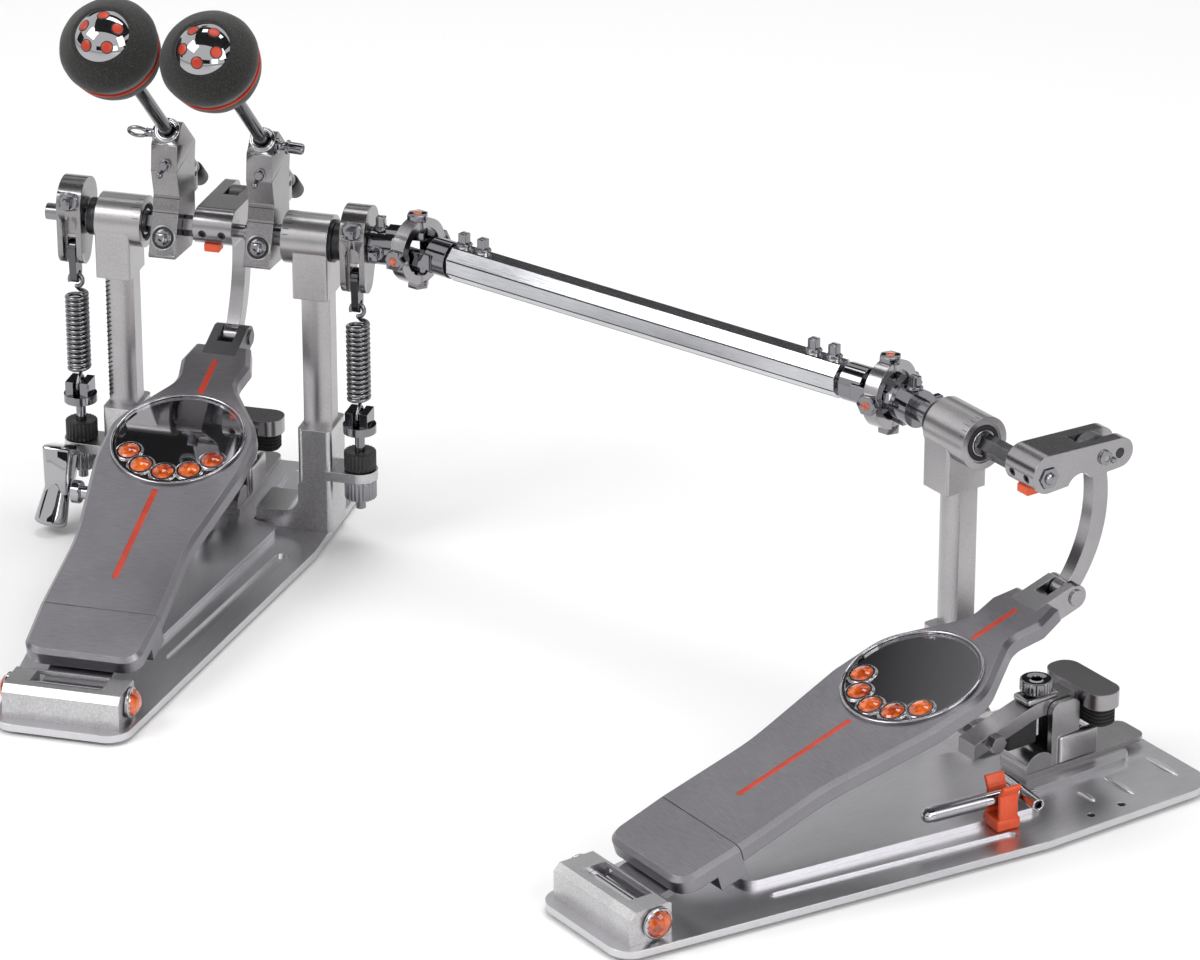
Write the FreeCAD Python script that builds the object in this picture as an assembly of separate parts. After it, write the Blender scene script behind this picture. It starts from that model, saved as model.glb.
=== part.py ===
"""Double bass drum pedal: a main pedal that carries two beaters, a slave pedal beside it,
and a telescopic drive shaft with a ring joint at each end.

Millimetres, +Z up. The origin is on the floor under the main axle, midway between the posts.
+X runs along the main axle towards the slave pedal, and +Y points at the bass drum.
"""
import FreeCAD, Part
import math
import os

V = FreeCAD.Vector
X_AXIS = V(1, 0, 0)
Y_AXIS = V(0, 1, 0)
Z_AXIS = V(0, 0, 1)

# Whole pedal
axle_height = 190.0
slave_turn = -39.4            # degrees about Z
slave_x = 533.35
slave_y = -210.84
running_clearance = 0.05      # radial, shafts in bores
body_clearance = 0.4          # between pieces that move past each other
overrun = 2.0                 # how far a cutting tool passes its face

# Floor pad and base plate
pad_thickness = 2.0
plate_thickness = 4.5
plate_heel_y = -301.0
plate_toe_y = 80.0
plate_heel_half = 39.0
plate_toe_half = 69.5
plate_shoulder_y = -40.0
plate_heel_radius = 14.0
plate_toe_radius = 18.0
plate_shoulder_radius = 40.0
pad_inset = 3.0
rib_half_heel = 18.0          # raised middle of the plate, tapering towards the heel
rib_half_toe = 40.0
rib_half_clamp = 22.0
rib_heel_y = -205.0
rib_shoulder_y = -20.0
rib_toe_y = 60.0
rib_height = 3.5
rib_radius = 9.0
groove_width = 8.0            # long grooves each side of the raised middle
groove_depth = 1.6
groove_heel_x = 33.0
groove_heel_y = -200.0
groove_toe_x = 53.0
groove_toe_y = -48.0
screw_hole_r = 2.3            # holes along the plate's edges
screw_hole_inset = 10.5
screw_hole_y = 19.8
screw_hole_pitch = 21.4

# Heel block and its hinge
block_half = 34.6
block_front_y = -293.0
block_back_y = -266.0
block_top_z = 26.0
block_bevel = 4.0
block_slot_half = 21.5
block_slot_front_y = -284.0
block_strip_y = -269.0        # front of the strip that closes the slot behind
block_strip_bottom_z = 23.5
block_floor_z = 8.2
hinge_y = -276.0
hinge_z = 16.6
hinge_rod_r = 6.0
cap_r = 8.4
cap_dome = 5.0
cap_bezel = 1.4

# Footboard, laid out along the slope (u) and square to it (w) from the hinge axis
board_slope = 16.82           # degrees
board_top_w = 12.34
board_thickness = 10.0
board_chamfer = 2.6
board_heel_u = 19.4
heel_plate_length = 39.7      # then the deck's runs, one after the other from heel to toe
waist_run = 58.9
flare_run = 68.0
wide_run = 36.0
neck_run = 40.0
bulge_run = 19.0
toe_run = 16.0
board_heel_half = 34.5
board_seam_half = 36.0
board_waist_half = 34.5
board_wide_half = 45.0
board_neck_half = 18.0
board_bulge_half = 21.5
board_toe_half = 17.0
board_heel_radius = 11.0
board_waist_radius = 120.0
board_wide_radius = 34.0
board_neck_radius = 16.0
board_bulge_radius = 6.0
board_seam_gap = 0.5
board_belly = 5.0             # hollow under the deck
board_wall = 6.0
tongue_half = 19.0
tongue_thickness = 5.0
tongue_back_u = 36.0
tongue_w = -2.0               # middle of the tongue at the hinge
skirt_u = 42.0                # deeper sides of the heel plate start here
skirt_w = -6.5

# Medallion and its jewels
medallion_past = 21.4         # its centre past the start of the wide run
medallion_r = 40.0
medallion_rim = 3.0
medallion_height = 2.2
medallion_recess = 0.8
jewel_count = 5
jewel_r = 6.2
jewel_circle_r = 29.5
jewel_pitch_deg = 30.0
jewel_dome = 2.6
bezel_wall = 1.2
bezel_height = 1.0

# Inlaid stripes
stripe_half = 1.9
stripe_depth = 0.8
stripe_clevis_gap = 4.8
stripe_toe_gap = 2.3          # between a stripe and the medallion
stripe_heel_gap = 3.4
stripe_seam_gap = 26.2

# Toe clevis
clevis_half = 10.5
clevis_set_in = 10.2          # how far it reaches into the deck
clevis_slot_half = 4.9
clevis_solid = 12.2           # closed part in front of the slot
toe_pin_past = 17.0           # pin past the deck's toe
toe_pin_w = 4.44
toe_pin_r = 2.6
toe_pin_head_r = 4.6
toe_pin_head = 1.2
clevis_eye_r = 7.0

# Link between cam and footboard
cam_pin_y = 39.0
cam_pin_rise = 2.0            # above the axle
link_thickness = 8.4
link_width = 10.4
link_bow = 11.0
link_eye_r = 7.4
link_low_clearance = 2.2      # the lower eye is the open pivot of the linkage

# Cam on the axle
cam_half = 12.0
cam_hub_r = 11.0
cam_hub_rise = 2.0            # hub set above the axle's centre
cam_tip_y = 50.0
cam_tip_r = 8.6
cam_notch_y = 22.0
cam_notch_drop = 12.0
cam_notch_r = 9.0
cam_fork_half = 4.7
cam_fork_y = 25.0
cam_pin_r = 3.0
cam_pin_head = 1.6
cam_pin_head_r = 4.2
cam_spare_y = 49.5            # second hole, further out
cam_spare_r = 3.0
cam_screw_r = 2.4
cam_screw_x = 6.0
cam_screw_depth = 4.0

# Posts, their feet and the bearing blocks
post_x = 61.0
slave_post_out = 6.0          # slave post set further out
post_y = 2.0
post_width = 17.5
post_depth = 16.5
post_bulge = 2.4
post_chamfer = 2.2
foot_width = 21.0
foot_depth = 30.0
foot_top_z = 72.0
foot_chamfer = 3.2
foot_bar_top_z = 18.0
foot_bar_inner_x = 24.0
foot_fillet = 18.0
socket_depth = 14.0           # post sunk in its foot
housing_length = 35.0
housing_r = 15.5
housing_front_depth = 15.0     # leg's front face ahead of the axle
housing_back_depth = 12.5
housing_width = 21.5
housing_drop = 33.0           # bottom of the leg below the axle
housing_chamfer = 1.5
housing_nose_r = 11.0         # neck between the barrel and the rocker or sleeve
housing_post_depth = 12.0     # post sunk in its housing
bearing_r = 11.5
bearing_width = 9.0
bearing_set_back = 1.0
bearing_bore_r = 6.5

# Axles
axle_hex = 11.0               # across flats
axle_tip_length = 11.0        # past the left rocker
axle_tip_r = 5.0
axle_journal_r = 4.0
axle_journal_x = 42.0
second_axle_x = 18.5
axle_short = 3.8              # axle ends short of its fork
slave_axle_end_x = 13.0

# Rockers that pull the springs
rocker_gap = 1.5              # between housing and rocker
rocker_width = 15.0
rocker_top_r = 15.5
rocker_top_rise = 8.5         # above the axle
rocker_low_r = 9.0
rocker_pin_y = -6.0
rocker_pin_drop = 19.0        # below the axle
rocker_pin_r = 2.2
rocker_slot_half = 3.0
rocker_slot_r = 10.0
rocker_bolt_rise = 13.0
rocker_bolt_r = 5.2
rocker_bolt_head = 2.4
key_square = 5.0              # square end that takes a drum key
key_square_length = 5.5

# Straps, springs and tension adjusters
strap_thickness = 4.4
strap_eye_r = 6.0
strap_open_clearance = 1.7    # the strap's upper eye is the open pivot
strap_length = 17.0           # from the rocker's pin to the hook hole
strap_hook_r = 5.0
strap_hook_hole_r = 2.6
strap_hook_flat = 4.5         # hole to the flat that the spring meets
spring_r = 6.0
spring_wire_r = 0.95
spring_step = 3.0             # wanted; the turns come out whole
spring_low_end = 12.0         # straight end above the swivel's pin
spring_high_end = 8.5         # straight end below the strap
swivel_r = 10.0
swivel_bottom_z = 72.0
swivel_disc = 5.0
swivel_ear_top_z = 86.0
swivel_ear_gap = 2.2
swivel_ear_half = 7.0
swivel_pin_z = 81.0
swivel_pin_r = 1.8
rod_r = 3.0
rod_bottom_z = 22.5
lock_knob_r = 9.8
lock_knob_bottom_z = 48.4
lock_knob_top_z = 62.0
tension_nut_bottom_z = 30.0
tension_nut_top_z = 41.6
knob_flutes = 24
knob_flute_r = 0.9
ear_bottom_z = 42.0
ear_top_z = 48.0
ear_r = 10.5

# Beaters and their holders, laid out along the beater shaft (s) from its point nearest the axle
beater_x = 30.5
left_beater_inset = 2.4       # left beater set nearer the middle
right_beater_down = 5.0       # right beater pushed further through its holder
beater_angle = 42.6           # degrees above the floor, leaning to the player
beater_offset = 42.2          # shaft axis to axle axis
beater_shaft_r = 4.0
beater_tail_s = -32.0
beater_tail_length = 14.0
beater_tail_r = 4.7
ball_s = 165.0
ball_r = 28.7
felt_wide_s = 6.5             # widest place, past the ball's middle
felt_shoulder_r = 24.6
felt_shoulder_s = 16.0
felt_top_s = 22.4             # rim round the dome
felt_waist_r = 26.2
felt_waist_s = -1.2
disc_r = 27.4                 # thin disc between the two felts
disc_thickness = 1.4
bowl_r = 27.0
bowl_side_r = 24.2
bowl_side_s = -15.0
bowl_foot_r = 14.0
bowl_foot_s = -23.0
ball_hub_r = 8.0
ball_hub_start_s = -25.5
ball_hub_end_s = -33.7
dome_r = 16.6
dome_seat = 0.9               # dome sunk below the rim
dome_rise = 8.4
holder_width = 16.0
holder_head_s = 43.5
holder_head_back_s = 14.0
holder_head_front = 9.5
holder_head_rear = 6.8
holder_toe_y = 22.0            # foot of the front face, which leans to the player
holder_toe_drop = 14.0
holder_shoulder_y = 11.0
holder_shoulder_rise = 13.0
holder_waist_y = 8.5
holder_waist_rise = 22.0
holder_chest_y = 12.0
holder_chest_rise = 38.0
holder_rear_y = 19.0
holder_rear_rise = 24.0
holder_rear_drop = 8.0
holder_bottom_drop = 17.0
holder_edge_radius = 2.0
clamp_bolt_share = 0.56        # how far down the leaning front face
clamp_bolt_r = 4.2
clamp_bolt_head = 2.2
clamp_bolt_seat = 1.4
wing_s = 39.0                 # wing bolt that grips the beater shaft
wing_drop = 0.8
wing_bolt_r = 3.0
wing_bolt_length = 5.0
wing_length = 9.0
wing_half = 5.2
wing_thickness = 3.4

# Ring joints between the axles and the drive shaft
sleeve_gap = 0.8              # between the right rocker and the first fork's sleeve
slave_joint_x = -127.3
ring_r = 20.0
ring_bore_r = 14.5
ring_width = 9.0
boss_r = 5.4
boss_rise = 2.6
trunnion_r = 2.4
trunnion_end_r = 21.0
trunnion_open_clearance = 0.8
fork_inner_r = 7.4
fork_outer_r = 12.4
fork_half = 4.6
fork_past = 4.8
fork_root = 13.5
sleeve_r = 11.0
sleeve_length = 14.0
sleeve_bolt_r = 3.8
sleeve_bolt_collar = 2.6
sleeve_bolt_seat = 1.2
sleeve_bolt_inset = 5.2

# Drive shaft
shank_r = 7.0
tube_flats = 20.5
tube_sides = 8
tube_start = 29.5             # from the first ring centre
tube_end = 31.0               # short of the second ring centre
shank_grip = 40.0
slave_shank_length = 170.0
tube_bolt_r = 4.0
tube_bolt_collar = 3.0
tube_bolt_inset = 5.5
tube_bolt_end_inset = 7.0
tube_bolt_pitch = 14.0
tube_bolts_per_end = 2

# Hoop clamp
jaw_pivot_y = 19.0
jaw_pivot_z = 41.0
jaw_pin_r = 3.0
cheek_gap = 0.5               # between the jaw's arm and a cheek
cheek_thickness = 3.6
cheek_front_y = 27.0
cheek_back_y = 11.0
cheek_top_z = 50.0
cheek_radius = 6.0
step_end_y = 38.0
step_top_z = 28.0
clamp_floor_y = -8.0
clamp_floor_top_z = 18.0
arch_r = 10.6                 # half-round block under the jaw's arm
arch_y = 1.5
arm_half = 7.0
jaw_boss_r = 6.5
arm_thickness = 9.0
arm_top_z = 52.0
arm_heel_y = -42.0
arm_heel_drop = 13.0
arm_bend_y = 2.0
arm_bend_radius = 30.0
paddle_half = 25.0
paddle_start_y = 29.5
paddle_end_y = 49.5
paddle_radius = 9.0
paddle_thickness = 9.5
paddle_top_z = 54.0
rubber_inset = 3.0
rubber_thickness = 11.0
tongue_plate_half = 12.0
tongue_plate_end_y = 77.0
tongue_plate_thickness = 2.8
tongue_plate_radius = 6.0
collar_y = 6.0
collar_r = 9.0
collar_height = 10.0
collar_washer_r = 6.6
collar_washer = 1.4
collar_stud_r = 3.4
collar_stud_bottom_z = 30.0
collar_socket_r = 3.2
collar_socket_depth = 4.0
heel_bolt_r = 4.6
heel_bolt_length = 6.0
heel_bolt_share = 0.72        # how far down the arm's heel

# Cross shaft and lever that close the main clamp
lever_y = -36.0
lever_z = 25.6
cross_shaft_r = 4.0
cross_shaft_end_x = 8.0
lever_inner_x = -82.0
lever_width = 15.0
lever_top = 27.0
lever_top_half = 9.0
lever_low = 19.0
lever_low_half = 10.0
lever_neck = 7.0
lever_round = 4.0
lever_hub_r = 7.0
lever_hub_length = 4.0
eccentric_r = 9.5
eccentric_width = 10.0
eccentric_throw = 5.0
carrier_x = -58.0
carrier_width = 12.0
carrier_half = 9.0
carrier_inner_x = -19.5

# Drum key and its clip on the slave plate
key_rod_r = 4.2
key_start_x = 34.0
key_start_y = -95.0
key_end_x = 41.0
key_end_y = -37.0
key_z = 24.0
key_bar_r = 3.6
key_bar_half = 18.0
key_socket_r = 2.2
key_socket_depth = 6.0
clip_share = 0.8              # how far along the key rod the clip holds it
clip_half = 6.0
clip_wall = 2.4
clip_lip = 4.0
clip_mouth_share = 0.8        # mouth over the rod's diameter

# Worked out from the sizes above
plate_top_z = pad_thickness + plate_thickness
rib_top_z = plate_top_z + rib_height
slope_cos = math.cos(math.radians(board_slope))
slope_sin = math.sin(math.radians(board_slope))
board_bottom_w = board_top_w - board_thickness
beater_cos = math.cos(math.radians(beater_angle))
beater_sin = math.sin(math.radians(beater_angle))
housing_inner_x = post_x - housing_length / 2
housing_outer_x = post_x + housing_length / 2
cheek_inner = arm_half + cheek_gap
rocker_inner_x = housing_outer_x + rocker_gap
rocker_outer_x = rocker_inner_x + rocker_width
spring_x = rocker_inner_x + rocker_width / 2
joint_x = rocker_outer_x + sleeve_gap + sleeve_length + fork_root
second_axle_end_x = joint_x - fork_root - axle_short
spring_y = rocker_pin_y
foot_front_y = post_y - foot_depth / 2
foot_back_y = post_y + foot_depth / 2
foot_inner_x = post_x - foot_width / 2
foot_outer_x = post_x + foot_width / 2
board_seam_u = board_heel_u + heel_plate_length
board_waist_u = board_seam_u + waist_run
board_wide_u = board_waist_u + flare_run
board_wide_end_u = board_wide_u + wide_run
board_neck_u = board_wide_end_u + neck_run
board_bulge_u = board_neck_u + bulge_run
board_toe_u = board_bulge_u + toe_run
medallion_u = board_wide_u + medallion_past
clevis_front_u = board_toe_u - clevis_set_in
clevis_slot_u = clevis_front_u + clevis_solid
toe_pin_u = board_toe_u + toe_pin_past
stripe_toe_u = clevis_front_u - stripe_clevis_gap
stripe_toe_end_u = medallion_u + medallion_r + stripe_toe_gap
stripe_heel_u = medallion_u - medallion_r - stripe_heel_gap
stripe_heel_end_u = board_seam_u + stripe_seam_gap
cam_pin_z = axle_height + cam_pin_rise
housing_bottom_z = axle_height - housing_drop
rocker_top_z = axle_height + rocker_top_rise
rocker_pin_z = axle_height - rocker_pin_drop
rocker_bolt_z = axle_height + rocker_bolt_rise
strap_hook_z = rocker_pin_z - strap_length
strap_bottom_z = strap_hook_z - strap_hook_flat
spring_top_z = strap_bottom_z - spring_high_end
spring_bottom_z = swivel_pin_z + spring_low_end
spring_turns = round((spring_top_z - spring_bottom_z) / spring_step)


def box(x0, x1, y0, y1, z0, z1):
    return Part.makeBox(x1 - x0, y1 - y0, z1 - z0, V(x0, y0, z0))


def rod(start, axis, radius, length):
    return Part.makeCylinder(radius, length, start, axis)


def rod_x(x0, x1, y, z, radius):
    return rod(V(x0, y, z), X_AXIS, radius, x1 - x0)


def drill_x(x0, x1, y, z, radius):
    return rod_x(x0 - overrun, x1 + overrun, y, z, radius)


def prism(start, axis, sides, flats, length):
    """Regular bar measured across its flats; a bar that lies down has a flat on top."""
    radius = flats / 2 / math.cos(math.pi / sides)
    corners = []
    for i in range(sides + 1):
        angle = math.pi / 2 + math.pi * (2 * i + 1) / sides
        corners.append(V(radius * math.cos(angle), radius * math.sin(angle), 0))
    bar = Part.Face(Part.makePolygon(corners)).extrude(V(0, 0, length))
    up = Z_AXIS if abs(axis.z) < axis.Length / 2 else Y_AXIS
    bar.Placement = FreeCAD.Placement(start, FreeCAD.Rotation(up.cross(axis), up, axis))
    return bar


def rounded_wire(corners):
    """Closed outline in the XY plane from (x, y, radius) corners; round corners become tangent arcs."""
    count = len(corners)
    runs = []
    for i, (x, y, radius) in enumerate(corners):
        here = V(x, y, 0)
        before = V(corners[i - 1][0], corners[i - 1][1], 0) - here
        after = V(corners[(i + 1) % count][0], corners[(i + 1) % count][1], 0) - here
        room = min(before.Length, after.Length)
        before.normalize()
        after.normalize()
        half = before.getAngle(after) / 2
        if radius == 0 or half > math.radians(89.5):
            runs.append((here, here, here))
            continue
        reach = min(radius / math.tan(half), room / 2)
        radius = reach * math.tan(half)
        bisector = before + after
        bisector.normalize()
        middle = here + bisector * (radius / math.sin(half) - radius)
        runs.append((here + before * reach, middle, here + after * reach))
    edges = []
    for i, (first, middle, last) in enumerate(runs):
        if (last - first).Length > 1e-6:
            edges.append(Part.Arc(first, middle, last).toShape())
        following = runs[(i + 1) % count][0]
        if (following - last).Length > 1e-6:
            edges.append(Part.LineSegment(last, following).toShape())
    return Part.Wire(edges)


def slab(corners, z0, z1):
    body = Part.Face(rounded_wire(corners)).extrude(V(0, 0, z1 - z0))
    body.translate(V(0, 0, z0))
    return body


def to_side(shape, x0):
    """Turn a shape drawn in XY so that its x is the pedal's Y, its y the pedal's Z, and it starts at x0."""
    shape.Placement = FreeCAD.Placement(V(x0, 0, 0), FreeCAD.Rotation(Y_AXIS, Z_AXIS, X_AXIS))
    return shape


def side_slab(corners, x0, x1):
    return to_side(Part.Face(rounded_wire(corners)).extrude(V(0, 0, x1 - x0)), x0)


def side_bar(a, ra, b, rb, x0, x1):
    """Bar round two circles a and b (y, z) with tangent sides, from x0 to x1."""
    a = V(a[0], a[1], 0)
    b = V(b[0], b[1], 0)
    along = math.atan2(b.y - a.y, b.x - a.x)
    lean = math.acos((ra - rb) / (b - a).Length)

    def at(centre, radius, angle):
        return centre + V(radius * math.cos(angle), radius * math.sin(angle), 0)

    edges = [
        Part.LineSegment(at(a, ra, along + lean), at(b, rb, along + lean)).toShape(),
        Part.Arc(at(b, rb, along + lean), at(b, rb, along), at(b, rb, along - lean)).toShape(),
        Part.LineSegment(at(b, rb, along - lean), at(a, ra, along - lean)).toShape(),
        Part.Arc(at(a, ra, along - lean), at(a, ra, along + math.pi), at(a, ra, along + lean)).toShape(),
    ]
    return to_side(Part.Face(Part.Wire(edges)).extrude(V(0, 0, x1 - x0)), x0)


def mirrored(shape):
    return shape.mirror(V(0, 0, 0), X_AXIS)


def fused(shapes):
    body = shapes[0]
    if len(shapes) > 1:
        body = body.multiFuse(shapes[1:])
    return body.removeSplitter()


def on_board(shape):
    """Move a shape drawn as x, u, w on to the sloping footboard."""
    shape = shape.copy()
    lean = FreeCAD.Placement(V(0, hinge_y, hinge_z), FreeCAD.Rotation(X_AXIS, board_slope))
    shape.Placement = lean.multiply(shape.Placement)
    return shape


def on_slave(shape):
    shape = shape.copy()
    spot = FreeCAD.Placement(V(slave_x, slave_y, 0), FreeCAD.Rotation(Z_AXIS, slave_turn))
    shape.Placement = spot.multiply(shape.Placement)
    return shape


def flat_outline(inset):
    """Corners of the base plate or its pad, both sides, from heel to toe."""
    right = [
        (plate_heel_half - inset, plate_heel_y + inset, plate_heel_radius),
        (plate_toe_half - inset, plate_shoulder_y, plate_shoulder_radius),
        (plate_toe_half - inset, plate_toe_y - inset, plate_toe_radius),
    ]
    return right + [(-x, y, radius) for x, y, radius in reversed(right)]


def floor_pad():
    return slab(flat_outline(pad_inset), 0, pad_thickness)


def rib_outline():
    right = [
        (rib_half_heel, rib_heel_y, rib_radius),
        (rib_half_toe, rib_shoulder_y, rib_radius),
        (rib_half_clamp, foot_front_y, 0),
        (rib_half_clamp, rib_toe_y, rib_radius),
    ]
    return right + [(-x, y, radius) for x, y, radius in reversed(right)]


def base_plate():
    plate = slab(flat_outline(0), pad_thickness, plate_top_z)
    rib = slab(rib_outline(), plate_top_z - plate_thickness / 2, rib_top_z)
    plate = fused([plate, rib])
    reach = V(groove_toe_x - groove_heel_x, groove_toe_y - groove_heel_y, 0)
    side = V(reach.y, -reach.x, 0).normalize() * (groove_width / 2)
    heel = V(groove_heel_x, groove_heel_y, 0)
    corners = []
    for point, step in ((heel, side), (heel + reach, side), (heel + reach, -side), (heel, -side)):
        spot = point + step
        corners.append((spot.x, spot.y, groove_width / 2))
    groove = slab(corners, plate_top_z - groove_depth, plate_top_z + rib_height + overrun)
    plate = plate.cut(groove).cut(mirrored(groove))
    for i in range(2):
        y = screw_hole_y - i * screw_hole_pitch
        spot = V(plate_toe_half - screw_hole_inset, y, pad_thickness - overrun)
        hole = rod(spot, Z_AXIS, screw_hole_r, plate_thickness + 2 * overrun)
        plate = plate.cut(hole).cut(mirrored(hole))
    return plate


def heel_block():
    profile = [
        (block_front_y, plate_top_z, 0),
        (block_back_y, plate_top_z, 0),
        (block_back_y, block_top_z, block_bevel / 2),
        (block_front_y + block_bevel, block_top_z, 0),
        (block_front_y, block_top_z - block_bevel, 0),
    ]
    block = side_slab(profile, -block_half, block_half)
    slot = box(-block_slot_half, block_slot_half, block_slot_front_y, block_strip_y,
               block_floor_z, block_top_z + overrun)
    mouth = box(-block_slot_half, block_slot_half, block_slot_front_y, block_back_y + overrun,
                block_floor_z, block_strip_bottom_z)
    bore = drill_x(-block_half, block_half, hinge_y, hinge_z, hinge_rod_r + running_clearance)
    return block.cut(slot).cut(mouth).cut(bore)


def hinge_rod():
    """The rod and, on its ends, a domed cap in a thin bezel."""
    end = block_half + body_clearance
    pieces = [rod_x(-end, end, hinge_y, hinge_z, hinge_rod_r)]
    sphere_r = (cap_r ** 2 + cap_dome ** 2) / (2 * cap_dome)
    bezel = rod_x(end, end + cap_bezel, hinge_y, hinge_z, cap_r)
    dome = Part.makeSphere(sphere_r, V(end + cap_bezel + cap_dome - sphere_r, hinge_y, hinge_z))
    dome = dome.common(rod_x(end + cap_bezel, end + cap_bezel + cap_dome + overrun, hinge_y, hinge_z, cap_r))
    cap = fused([bezel, dome])
    pieces.append(cap)
    pieces.append(mirrored(cap))
    return Part.makeCompound(pieces)


def deck_outline():
    right = [
        (board_heel_half, board_heel_u, board_heel_radius),
        (board_seam_half, board_seam_u, 0),
        (board_waist_half, board_waist_u, board_waist_radius),
        (board_wide_half, board_wide_u, board_wide_radius),
        (board_wide_half, board_wide_end_u, board_wide_radius),
        (board_neck_half, board_neck_u, board_neck_radius),
        (board_bulge_half, board_bulge_u, board_bulge_radius),
        (board_toe_half, board_toe_u, 0),
    ]
    return right + [(-x, u, radius) for x, u, radius in reversed(right)]


def footboard():
    """Deck and heel plate, two pieces that meet at a narrow seam, with the hinge tongue under the heel."""
    deck = slab(deck_outline(), board_bottom_w, board_top_w)
    rim = [edge for edge in deck.Edges if min(v.Z for v in edge.Vertexes) > board_top_w - board_chamfer / 2]
    deck = deck.makeChamfer(board_chamfer, rim)
    belly = box(-board_waist_half + board_wall, board_waist_half - board_wall,
                board_seam_u + board_wall, board_wide_end_u, board_bottom_w - overrun,
                board_bottom_w + board_belly)
    deck = deck.cut(belly)
    pocket = box(-clevis_half, clevis_half, clevis_front_u, board_toe_u + overrun,
                 board_bottom_w - overrun, board_top_w + overrun)
    deck = deck.cut(pocket)
    seat = rod(V(0, medallion_u, board_top_w - medallion_recess), Z_AXIS, medallion_r,
               overrun + medallion_recess)
    deck = deck.cut(seat)
    for start, end in ((stripe_toe_end_u, stripe_toe_u), (stripe_heel_end_u, stripe_heel_u)):
        ends = [(stripe_half, start, stripe_half), (stripe_half, end, stripe_half),
                (-stripe_half, end, stripe_half), (-stripe_half, start, stripe_half)]
        deck = deck.cut(slab(ends, board_top_w - stripe_depth, board_top_w + overrun))
    far = 2 * board_toe_u
    cut_low = board_bottom_w - board_thickness * 2
    cut_high = board_top_w + board_thickness
    half = board_wide_half + overrun
    heel_part = deck.common(box(-half, half, 0, board_seam_u - board_seam_gap / 2, cut_low, cut_high))
    deck_part = deck.common(box(-half, half, board_seam_u + board_seam_gap / 2, far, cut_low, cut_high))
    tongue_low = tongue_w - tongue_thickness / 2
    tongue = box(-tongue_half, tongue_half, 0, tongue_back_u, tongue_low, tongue_low + tongue_thickness)
    riser = box(-tongue_half, tongue_half, tongue_back_u - tongue_thickness * 2, tongue_back_u,
                tongue_low, board_bottom_w + board_chamfer)
    skirt = slab(deck_outline(), skirt_w, board_top_w - board_chamfer * 2)
    skirt = skirt.common(box(-half, half, skirt_u, board_seam_u - board_seam_gap / 2, cut_low, cut_high))
    heel_part = fused([heel_part, tongue, riser, skirt])
    heel_part = heel_part.cut(drill_x(-tongue_half, tongue_half, 0, 0, hinge_rod_r))
    heel_part = heel_part.cut(box(-half, half, -far, 0, cut_low, cut_high))
    return on_board(Part.makeCompound([deck_part, heel_part]))


def jewel(x, u, base_w):
    sphere_r = (jewel_r ** 2 + jewel_dome ** 2) / (2 * jewel_dome)
    dome = Part.makeSphere(sphere_r, V(x, u, base_w + jewel_dome - sphere_r))
    return dome.common(rod(V(x, u, base_w), Z_AXIS, jewel_r, jewel_dome + overrun))


def medallion():
    """A dished disc with a raised rim, and five domed jewels in bezels along its heel side."""
    base_w = board_top_w - medallion_recess
    face_w = base_w + medallion_height - bezel_height
    centre = V(0, medallion_u, base_w)
    disc = rod(centre, Z_AXIS, medallion_r, medallion_height)
    dish = rod(V(0, medallion_u, face_w), Z_AXIS, medallion_r - medallion_rim, medallion_height)
    disc = disc.cut(dish)
    pieces = []
    for i in range(jewel_count):
        angle = math.radians(-90 + jewel_pitch_deg * (i - (jewel_count - 1) / 2))
        x = jewel_circle_r * math.cos(angle)
        u = medallion_u + jewel_circle_r * math.sin(angle)
        bezel = rod(V(x, u, face_w - bezel_height / 2), Z_AXIS, jewel_r + bezel_wall, bezel_height * 1.5)
        seat = rod(V(x, u, face_w), Z_AXIS, jewel_r, bezel_height + overrun)
        disc = disc.fuse(bezel).cut(seat)
        pieces.append(jewel(x, u, face_w))
    return on_board(Part.makeCompound([disc.removeSplitter()] + pieces))


def toe_clevis():
    """The slotted toe block and the pin across it."""
    low = toe_pin_w - clevis_eye_r
    body = box(-clevis_half, clevis_half, clevis_front_u, toe_pin_u, low, board_top_w)
    eye = rod_x(-clevis_half, clevis_half, toe_pin_u, toe_pin_w, clevis_eye_r)
    body = fused([body, eye])
    slot = box(-clevis_slot_half, clevis_slot_half, clevis_slot_u, toe_pin_u + 2 * clevis_eye_r,
               low - overrun, board_top_w + overrun)
    bore = drill_x(-clevis_half, clevis_half, toe_pin_u, toe_pin_w, toe_pin_r + running_clearance)
    body = body.cut(slot).cut(bore)
    pin = rod_x(-clevis_half, clevis_half, toe_pin_u, toe_pin_w, toe_pin_r)
    head = rod_x(clevis_half, clevis_half + toe_pin_head, toe_pin_u, toe_pin_w, toe_pin_head_r)
    return on_board(Part.makeCompound([body, fused([pin, head, mirrored(head)])]))


def toe_pin_place():
    """Toe pin's y and z at rest."""
    y = hinge_y + toe_pin_u * slope_cos - toe_pin_w * slope_sin
    z = hinge_z + toe_pin_u * slope_sin + toe_pin_w * slope_cos
    return y, z


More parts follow.
